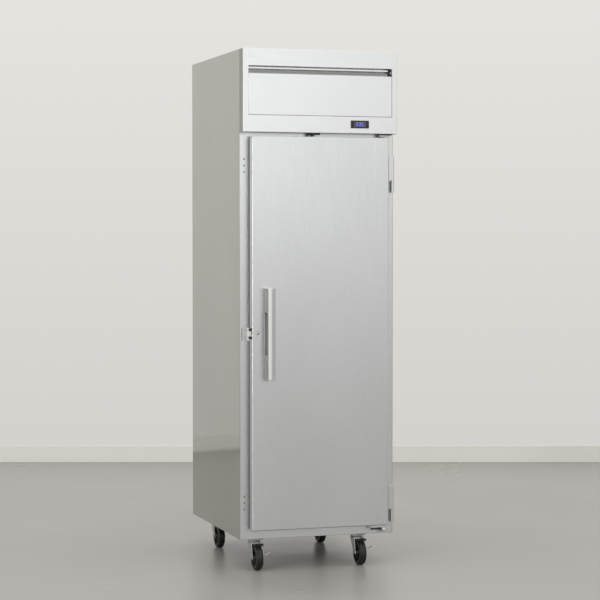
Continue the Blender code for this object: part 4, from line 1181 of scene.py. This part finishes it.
# %% Brake levers
for corner in ("front_left", "front_right"):
    low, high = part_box(f"caster_brake_{corner}")
    plate_x = low.x
    cheek = slab("cheek", (plate_x, low.y, low.z), (plate_x + 2.2 * MM, high.y, high.z), 0.6 * MM)
    pedal = block("pedal", (plate_x + 0.2 * MM, low.y, low.z + 0.4 * MM),
                  (high.x, low.y + 20 * MM, low.z + 2.6 * MM))
    with editing(pedal):
        bpy.ops.mesh.select_all(action="SELECT")
        bpy.ops.mesh.bisect(plane_co=(plate_x + 16 * MM, 0, 0), plane_no=(1, 0, 0))
    with editing(pedal, "VERT"):
        pick(pedal, lambda v: v.co.x > plate_x + 20 * MM, "verts")
        bpy.ops.transform.translate(value=(0, 0, 7 * MM))
    roll = rod("pedal_roll", (high.x - 1.4 * MM, low.y + 10 * MM, low.z + 8.6 * MM), 2 * MM, 20 * MM, "Y", 16)
    # Painted highlight: the pedal takes the near-white painted glint.
    finish_piece(join(f"caster_brake_pedal_{corner}", cheek, soften(pedal, 0.5 * MM), soften(roll, 0.5 * MM)),
                 "painted_zinc_glint", f"brake_{corner}", f"caster_brake_{corner}", slot="black_steel")

# %% [markdown]
# ## Inside the cabinet
# Behind the door are the embossed liner with coved corners, four slotted pilasters with clips,
# three wire shelves and the evaporator cover on the ceiling with its fan, guard and lamp.

# %% Liner
low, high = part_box("inner_liner")
liner = fold(block("formed_liner", low, high), [(0, -1, 0)], 9 * MM, 1.5 * MM, 4)
finish_piece(liner, "liner", "cabinet", "inner_liner")

# %% [markdown]
# ### Pilasters
# Shelves hang on four slotted channels. A comb of small blocks, one for each rung, is cut out
# of a single channel in one boolean, and the other three channels are copies of it.

# %% Pilasters
PILASTER_WIDE, PILASTER_DEEP, RUNG = 16 * MM, 5 * MM, 25 * MM
inner = high.x - 1.6 * MM
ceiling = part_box("evaporator_cover")[0].z - 12 * MM
channel = block("pilaster", (inner - PILASTER_DEEP, low.y + 60 * MM, low.z + 20 * MM),
                (inner, low.y + 60 * MM + PILASTER_WIDE, ceiling))
count = int((ceiling - low.z - 60 * MM) / RUNG)
slot_comb = block("rung_0", (inner - PILASTER_DEEP - 2 * MM, low.y + 64 * MM, low.z + 40 * MM),
                  (inner - PILASTER_DEEP + 2.2 * MM, low.y + 72 * MM, low.z + 44 * MM))
comb = join("slot_comb", slot_comb, *[shifted(slot_comb, (0, 0, rung * RUNG)) for rung in range(1, count)])
cut(soften(channel, 1 * MM), comb)
smooth(channel)
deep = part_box("shelf_lower")[1].y - 60 * MM - (low.y + 60 * MM)
right_back = shifted(channel, (0, deep, 0))
lefts = []
for source in (channel, right_back):
    flipped = shifted(source, (0, 0, 0))
    only(flipped)
    flipped.data.transform(Matrix.Diagonal((-1, 1, 1, 1)))
    with editing(flipped):
        bpy.ops.mesh.select_all(action="SELECT")
        bpy.ops.mesh.normals_make_consistent(inside=False)
    lefts.append(flipped)
finish_piece(smooth(join("pilasters", channel, right_back, *lefts)), "anodised", "cabinet")
print(count, "slots in each pilaster")

# %% [markdown]
# ### Wire shelves
# Front-to-back wires are welded over three cross wires inside a heavier rim. Every wire is a
# bevelled curve turned into a mesh: one is modelled with its turned-down ends, the rest are copies.

# %% Wire shelves
WIRE, RIM, WIRES = 2.4 * MM, 4.2 * MM, 27
for level in ("lower", "middle", "upper"):
    low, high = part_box(f"shelf_{level}")
    rim_z = high.z - RIM - WIRE
    r = RIM
    corners = [(low.x + r, low.y + r), (high.x - r, low.y + r), (high.x - r, high.y - r),
               (low.x + r, high.y - r)]
    rim_points = []
    for (x, y), start in zip(corners, (180, 270, 0, 90)):
        inward = Vector((x + (12 * MM if x < 0 else -12 * MM),
                         y + (12 * MM if y < (low.y + high.y) / 2 else -12 * MM), rim_z))
        rim_points += arc(inward, 12 * MM, start, start + 90, 4, "XY")
    rim = bend_wire("rim", rim_points, RIM / 1.2, 8, True)
    cross = [bend_wire("cross", [(low.x + r, y, rim_z), (high.x - r, y, rim_z)], RIM / 1.4, 8)
             for y in (low.y + 0.17, (low.y + high.y) / 2, high.y - 0.17)]
    path = ((low.y + r * 0.6, rim_z - 2 * MM), (low.y + r * 0.8, high.z - WIRE * 1.4),
            (low.y + r * 2, high.z - WIRE), (high.y - r * 2, high.z - WIRE),
            (high.y - r * 0.8, high.z - WIRE * 1.4), (high.y - r * 0.6, rim_z - 2 * MM))
    first = bend_wire("wire", [(low.x + 16 * MM, y, z) for y, z in path], WIRE, 6)
    step = (high.x - low.x - 32 * MM) / (WIRES - 1)
    rest = [shifted(first, (step * at, 0, 0)) for at in range(1, WIRES)]
    finish_piece(join(f"wire_shelf_{level}", rim, *cross, first, *rest), "shelf_wire", "cabinet",
                 f"shelf_{level}")

# %% [markdown]
# ### Shelf clips
# A clip is a tab with a hook under the shelf's rim, one at each corner of each shelf.

# %% Shelf clips
PILASTER_FACE, HOOK_END = 279.4 * MM, 268 * MM
clip_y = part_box("inner_liner")[0].y + 64 * MM
clips = []
for level in ("lower", "middle", "upper"):
    low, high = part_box(f"shelf_{level}")
    for side in (-1, 1):
        for y in (clip_y, clip_y + deep):
            clip = block("clip", (side * PILASTER_FACE - 0.6 * MM, y, low.z - 14 * MM),
                         (side * PILASTER_FACE + 0.6 * MM, y + 8 * MM, low.z + 3 * MM))
            hook = block("hook", (min(side * PILASTER_FACE, side * HOOK_END), y, low.z - 3 * MM),
                         (max(side * PILASTER_FACE, side * HOOK_END), y + 8 * MM, low.z - 1.4 * MM))
            clips += [soften(clip, 0.4 * MM), soften(hook, 0.4 * MM)]
finish_piece(join("shelf_clips", *clips), "zinc", "cabinet")

# %% [markdown]
# ### Evaporator cover
# A bent sheet box with a round fan mouth in front, an outlet at the back and a row of slots
# along its belly. The sheet is folded from a closed block and the openings are cut together.

# %% Evaporator cover
low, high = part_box("evaporator_cover")
fan_low, fan_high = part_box("evaporator_fan")
fan_centre = (fan_low + fan_high) / 2
cover = fold(block("evaporator_housing", low, high), [(0, 0, 1)], 4 * MM)
mouth = rod("mouth", (0, low.y, fan_centre.z), 76 * MM, 0.02, "Y", 64)
outlet = block("outlet", (-0.22, high.y - 0.005, fan_centre.z - 45 * MM),
               (0.22, high.y + 0.005, fan_centre.z + 55 * MM))
belly = block("belly_slot", (-0.2, low.y + 0.33, low.z - 0.005), (-0.19, low.y + 0.48, low.z + 0.005))
comb = join("belly_comb", belly, *[shifted(belly, (0.02 * at, 0, 0)) for at in range(1, 20)])
cut(cover, mouth, outlet, comb)
smooth(cover)
motor = soften(rod("motor", (0, fan_centre.y + 44 * MM, fan_centre.z), 30 * MM, 50 * MM, "Y", 36), 4 * MM, 3)
strap = slab("strap", (-10 * MM, fan_centre.y + 28 * MM, low.z),
             (10 * MM, fan_centre.y + 31 * MM, fan_centre.z), 0.8 * MM)
finish_piece(join("evaporator_housing", cover, motor, strap), "liner", "cabinet", "evaporator_cover")


# %% [markdown]
# ### Fan blades
# A small plastic fan: a turned hub and pitched blades. One blade is a subdivided strip whose
# points are twisted along its length, more at the root than at the tip.

# %% Fan blades
def propeller(name, node, finish, body, blades):
    """A hub with curved, twisted blades, turned round the fan's own axis."""
    low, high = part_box(node)
    centre, radius = (low + high) / 2, (high.x - low.x) / 2
    hub = turned("hub", [(-11 * MM, 0.001), (-11 * MM, radius * 0.2), (-9 * MM, radius * 0.25),
                         (9 * MM, radius * 0.26), (9 * MM, 0.001)], centre, "Y", 28)
    one = block("blade", (centre.x + radius * 0.2, centre.y - 1 * MM, centre.z - radius * 0.3),
                (centre.x + radius * 0.97, centre.y + 1 * MM, centre.z + radius * 0.3))
    with editing(one):
        bpy.ops.mesh.select_all(action="SELECT")
        bpy.ops.mesh.subdivide(number_cuts=4)
    for vertex in one.data.vertices:
        reach = (vertex.co.x - centre.x) / radius
        chord = (vertex.co.z - centre.z) / (radius * 0.3)
        pitch = math.radians(42 - 22 * reach)
        width = radius * 0.3 * (0.75 + 0.35 * reach) * chord
        thick = vertex.co.y - centre.y
        vertex.co.z = centre.z + width * math.cos(pitch)
        vertex.co.y = centre.y + thick + max(-10.5 * MM, min(10.5 * MM, width * math.sin(pitch) * 0.55))
        vertex.co.x = centre.x + radius * min(reach, 0.985 - 0.12 * chord * chord)
    smooth(one, 40)
    return finish_piece(join(name, hub, *spun(one, blades, centre, "Y")), finish, body, node)


propeller("inside_fan_blades", "evaporator_fan", "black_plastic", "inside_fan", 5)

# %% [markdown]
# ### Fan guard
# Rings and spokes of round wire keep fingers out of the fan.

# %% Fan guard
def guard(name, centre, radius, y, rings, spokes, finish, body, wire=1.1 * MM):
    """Rings and spokes of round wire in front of a fan."""
    parts = []
    for ring in range(rings):
        size = radius * (0.18 + 0.82 * ring / (rings - 1))
        circle = arc((centre.x, y, centre.z), size, 0, 345, 23 if size < 0.05 else 35)
        parts.append(bend_wire("ring", circle, wire, 6, True))
    for spoke in range(spokes):
        angle = 2 * math.pi * (spoke + 0.5) / spokes
        way = Vector((math.cos(angle), 0, math.sin(angle)))
        hub = Vector((centre.x, y + wire * 1.6, centre.z))
        parts.append(bend_wire("spoke", [hub + way * radius * 0.18, hub + way * (radius + 3 * MM)],
                               wire * 1.2, 6))
    return finish_piece(join(name, *parts), finish, body)


guard("inside_fan_guard", fan_centre, 0.077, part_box("evaporator_cover")[0].y - 3 * MM, 7, 6, "zinc",
      "cabinet")


# %% [markdown]
# ### Fin packs
# A coil is thin upright plates on rows of tube. The plates are copies of one thin block and
# the return bends at both ends are short bent tubes in copper.

# %% Fin packs
def fins(name, node, across, pitch, wall, body="cabinet"):
    """Tube-and-fin coil: thin upright plates on rows of tube with return bends at the ends."""
    low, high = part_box(node)
    end = 12 * MM
    first = block("fin", (low.x + end, low.y, low.z), (low.x + end + wall, high.y, high.z))
    count = int((high.x - low.x - 2 * end) / pitch)
    plates = [first] + [shifted(first, (pitch * at, 0, 0)) for at in range(1, count)]
    sheets = []
    for x in (low.x + end - 3 * MM, high.x - end + 1.5 * MM):
        sheets.append(slab("end_sheet", (x, low.y, low.z), (x + 1.5 * MM, high.y, high.z), 0.4 * MM))
    tubes = []
    rows = int((high.z - low.z) / across)
    columns = max(1, int((high.y - low.y) / across))
    for row in range(rows):
        for column in range(columns):
            y = low.y + (column + 0.5) * (high.y - low.y) / columns
            z = low.z + (row + 0.5) * (high.z - low.z) / rows
            if row % 2 == 0 and row + 1 < rows:
                up = (high.z - low.z) / rows
                for side, x in ((1, high.x - end), (-1, low.x + end)):
                    reach = side * (end - 3.4 * MM)
                    bend = [Vector((x, y, z))]
                    for t in range(1, 6):
                        bend.append(Vector((x + reach * math.sin(math.pi * t / 6), y, z + up * t / 6)))
                    bend.append(Vector((x, y, z + up)))
                    tubes.append(bend_wire("bend", bend, 3.4 * MM, 6))
    plate_piece = finish_piece(join(name + "_fins", *plates, *sheets), "fin_pack", body, node)
    finish_piece(join(name + "_bends", *tubes), "copper", body)
    return plate_piece


fins("evaporator", "evaporator_coil", 30 * MM, 4.5 * MM, 0.4 * MM)

# %% [markdown]
# ### Lamp
# The lamp is a strip with rounded lower edges and a cap at each end, over the door opening.

# %% Lamp
low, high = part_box("interior_lamp")
lamp = block("lamp_diffuser_strip", low, (high.x, high.y, high.z))
with editing(lamp, "EDGE"):
    pick(lamp, lambda edge: middle(edge).z < (low.z + high.z) / 2, "edges")
    bpy.ops.mesh.bevel(offset=6 * MM, segments=5, affect="EDGES")
finish_piece(smooth(lamp), "lamp_diffuser", "cabinet", "interior_lamp")
ends = [slab("lamp_cap", (x - 5 * MM, low.y - 0.6 * MM, low.z - 0.6 * MM),
             (x + 5 * MM, high.y + 0.6 * MM, high.z), 1 * MM)
        for x in (low.x + 5 * MM, high.x - 5 * MM)]
finish_piece(join("lamp_end_caps", *ends), "breaker", "cabinet", slot="lamp_diffuser")

# %% [markdown]
# ## Machine compartment
# On the deck behind the header sit the condenser with its shroud and fan, the welded
# compressor shell on rubber feet, the control box and the copper line. The top is open.

# %% Condenser coil
fins("condenser", "condenser_coil", 32 * MM, 3.4 * MM, 0.4 * MM)

# %% [markdown]
# ### Shroud
# The shroud is a folded sheet box behind the coil with a mouth for the fan. A turned lip
# stiffens the mouth.

# %% Shroud
low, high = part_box("condenser_shroud")
fan_low, fan_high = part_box("condenser_fan")
fan_centre = (fan_low + fan_high) / 2
coil_low, coil_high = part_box("condenser_coil")
shroud_back = FACE + 130 * MM
shroud = fold(block("fan_shroud", (coil_low.x, coil_high.y + 0.3 * MM, coil_low.z),
                    (coil_high.x, shroud_back, coil_high.z)), [(0, -1, 0)], 3 * MM)
cut(shroud, rod("mouth", (fan_centre.x, shroud_back, fan_centre.z), 112 * MM, 0.02, "Y", 72))
smooth(shroud)
lip = turned("shroud_lip", scaled([(0, 111.4), (0, 114.5), (7, 114.5), (7, 111.4)]),
             (fan_centre.x, shroud_back - 7 * MM, fan_centre.z), "Y", 64)
finish_piece(join("condenser_fan_shroud", shroud, lip), "galvanised", "cabinet", "condenser_shroud")

# %% [markdown]
# ### Fan motor on its strap
# The strap crosses the mouth and its two feet are folded down on to the shroud. The motor's
# two shells leave a narrow groove at the middle, which the spun section gives directly.

# %% Fan motor on its strap
motor = turned("condenser_motor", scaled([(-25, 5), (-25, 30), (-21, 37), (-8, 38), (-8, 36.4), (8, 36.4),
                                          (8, 38), (21, 37), (25, 30), (25, 5)]),
               (fan_centre.x, FACE + 162 * MM, fan_centre.z), "Y", 40)
strap = block("motor_strap", (fan_centre.x - 128 * MM, FACE + 142.4 * MM, fan_centre.z - 8 * MM),
              (fan_centre.x + 128 * MM, FACE + 145.4 * MM, fan_centre.z + 8 * MM))
strap_feet = []
for side in (-1, 1):
    foot_x = fan_centre.x + side * 122 * MM
    strap_feet.append(block("strap_foot", (foot_x - 6 * MM, shroud_back, fan_centre.z - 8 * MM),
                            (foot_x + 6 * MM, FACE + 145.4 * MM, fan_centre.z + 8 * MM)))
finish_piece(join("condenser_motor", motor, soften(strap, 0.7 * MM),
                  *[soften(foot, 0.7 * MM) for foot in strap_feet]), "zinc", "cabinet")
propeller("condenser_fan_blades", "condenser_fan", "black_plastic", "top_fan", 5)

# %% [markdown]
# ### Compressor
# Two drawn steel cups welded round the middle, on a foot plate with rubber grommets. The
# weld shows as a raised band, so the half section steps out there.

# %% Compressor
SHELL_SECTION = ((0, 0.62), (0.06, 0.82), (0.16, 0.94), (0.28, 0.965), (0.42, 0.965), (0.43, 0.995),
                 (0.46, 0.995), (0.47, 0.955), (0.66, 0.94), (0.8, 0.86), (0.9, 0.7), (0.96, 0.45),
                 (0.985, 0.2))
low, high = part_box("compressor")
centre, radius = (low + high) / 2, (high.x - low.x) / 2
height = high.z - low.z
outline = [(up * height, wide * radius) for up, wide in SHELL_SECTION]
shell = turned("compressor_shell", [(0, 0.001), *outline, (outline[-1][0], 0.001)],
               (centre.x, centre.y, low.z), "Z", 56)
rail = block("foot_rail", (centre.x - radius, centre.y - 42 * MM, low.z + 6 * MM),
             (centre.x + radius, centre.y + 42 * MM, low.z + 9 * MM))
cover = slab("terminal_cover", (centre.x - 22 * MM, centre.y + radius * 0.8, low.z + 0.45 * height),
             (centre.x + 22 * MM, centre.y + radius + 12 * MM, low.z + 0.75 * height), 4 * MM, 3)
finish_piece(join("compressor_shell", shell, soften(rail, 1 * MM), cover), "black_steel", "cabinet",
             "compressor")
grommets = [soften(rod("grommet", (centre.x + x * 66 * MM, centre.y + y * 34 * MM, low.z + 5.5 * MM),
                       9 * MM, 11 * MM, sides=20), 1.5 * MM) for x in (-1, 1) for y in (-1, 1)]
finish_piece(join("compressor_grommets", *grommets), "dark_rubber", "cabinet")

# %% [markdown]
# ### Control box
# A folded case with an overlapping lid, a row of vents and the gland the supply lead leaves by.

# %% Control box
low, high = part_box("control_box")
case_back = FACE + 130 * MM
case = slab("control_case", low, (high.x, case_back, high.z - 2 * MM), 1 * MM)
lid = slab("control_lid", (low.x - 0.6 * MM, low.y - 0.6 * MM, high.z - 16 * MM),
           (high.x + 0.6 * MM, case_back + 0.6 * MM, high.z), 1.2 * MM)
vent = block("vent", (low.x + 20 * MM, case_back - 2 * MM, high.z - 50 * MM),
             (low.x + 23 * MM, case_back + 2 * MM, high.z - 25 * MM))
vents = join("vents", vent, *[shifted(vent, (at * 9 * MM, 0, 0)) for at in range(1, 14)])
cut(case, vents)
smooth(case)
finish_piece(join("control_case", case, lid), "galvanised", "cabinet", "control_box")
gland_y = case_back + 1 * MM
gland = turned("cord_gland", scaled([(0, 5), (0, 13), (3, 13), (3, 10.5), (13, 10.5), (16, 8.5), (16, 5)]),
               (250 * MM, gland_y, low.z + 40 * MM), "Y", 12)
finish_piece(gland, "black_plastic", "cabinet")

# %% [markdown]
# ## Back and underside
# The back is one galvanised sheet with pressed ribs, folded seams and a row of screws; below
# is a shallow tray that the casters bolt to.

# %% Back panel
low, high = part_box("back_panel")
back = block("back_sheet", low, high)
rib = slab("rib", (low.x + 60 * MM, high.y - 0.2 * MM, low.z + 300 * MM),
           (high.x - 60 * MM, high.y + 2.2 * MM, low.z + 318 * MM), 2 * MM, 3)
ribs = [rib] + [shifted(rib, (0, 0, at * 330 * MM)) for at in range(1, 4)]
seams = [slab("seam", (x - 9 * MM, high.y - 0.2 * MM, low.z),
              (x + 9 * MM, high.y + 1.2 * MM, high.z), 0.5 * MM)
         for x in (low.x + 9 * MM, high.x - 9 * MM)]
cover = slab("access_cover", (-150 * MM, high.y, low.z + 1480 * MM),
             (150 * MM, high.y + 1.8 * MM, low.z + 1640 * MM), 0.6 * MM)
finish_piece(join("ribbed_back_sheet", back, *ribs, *seams, cover), "galvanised", "cabinet", "back_panel")
spots = [(x, high.y + 1.2 * MM, low.z + 40 * MM + at * 194 * MM) for x in (low.x + 9 * MM, high.x - 9 * MM)
         for at in range(11)]
spots += [(x, high.y + 1.8 * MM, z) for x in (-140 * MM, 140 * MM)
          for z in (low.z + 1490 * MM, low.z + 1630 * MM)]

# %% [markdown]
# ### Back screws
# Pan-head screws run down both seams and hold the access cover's corners: one is modelled,
# the rest are copies.

# %% Back screws
pattern = soften(rod("back_screw", (0, 0, 0), 3.6 * MM, 1.8 * MM, "Y", 16), 0.6 * MM)
heads = [shifted(pattern, spot) for spot in spots]
bpy.data.objects.remove(pattern)
finish_piece(join("back_screws", *heads), "zinc", "cabinet")

# %% [markdown]
# ### Base pan and deck
# The base is a shallow tray; the deck over the insulation has three pressed beads that keep
# the sheet from drumming.

# %% Base pan and deck
low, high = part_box("base_pan")
finish_piece(fold(block("base_tray", low, high), [(0, 0, 1)], 2.5 * MM), "galvanised", "cabinet", "base_pan")
low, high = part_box("top_deck")
deck = slab("machine_deck", low, high, 0.4 * MM)
beads = [slab("deck_bead", (-240 * MM, low.y + y * MM, high.z - 0.2 * MM),
              (240 * MM, low.y + (y + 10) * MM, high.z + 1.4 * MM), 1 * MM)
         for y in (430, 540, 650)]
finish_piece(join("machine_deck", deck, *beads), "galvanised", "cabinet", "top_deck")

# %% Piece count
print(len(made_pieces), "pieces")
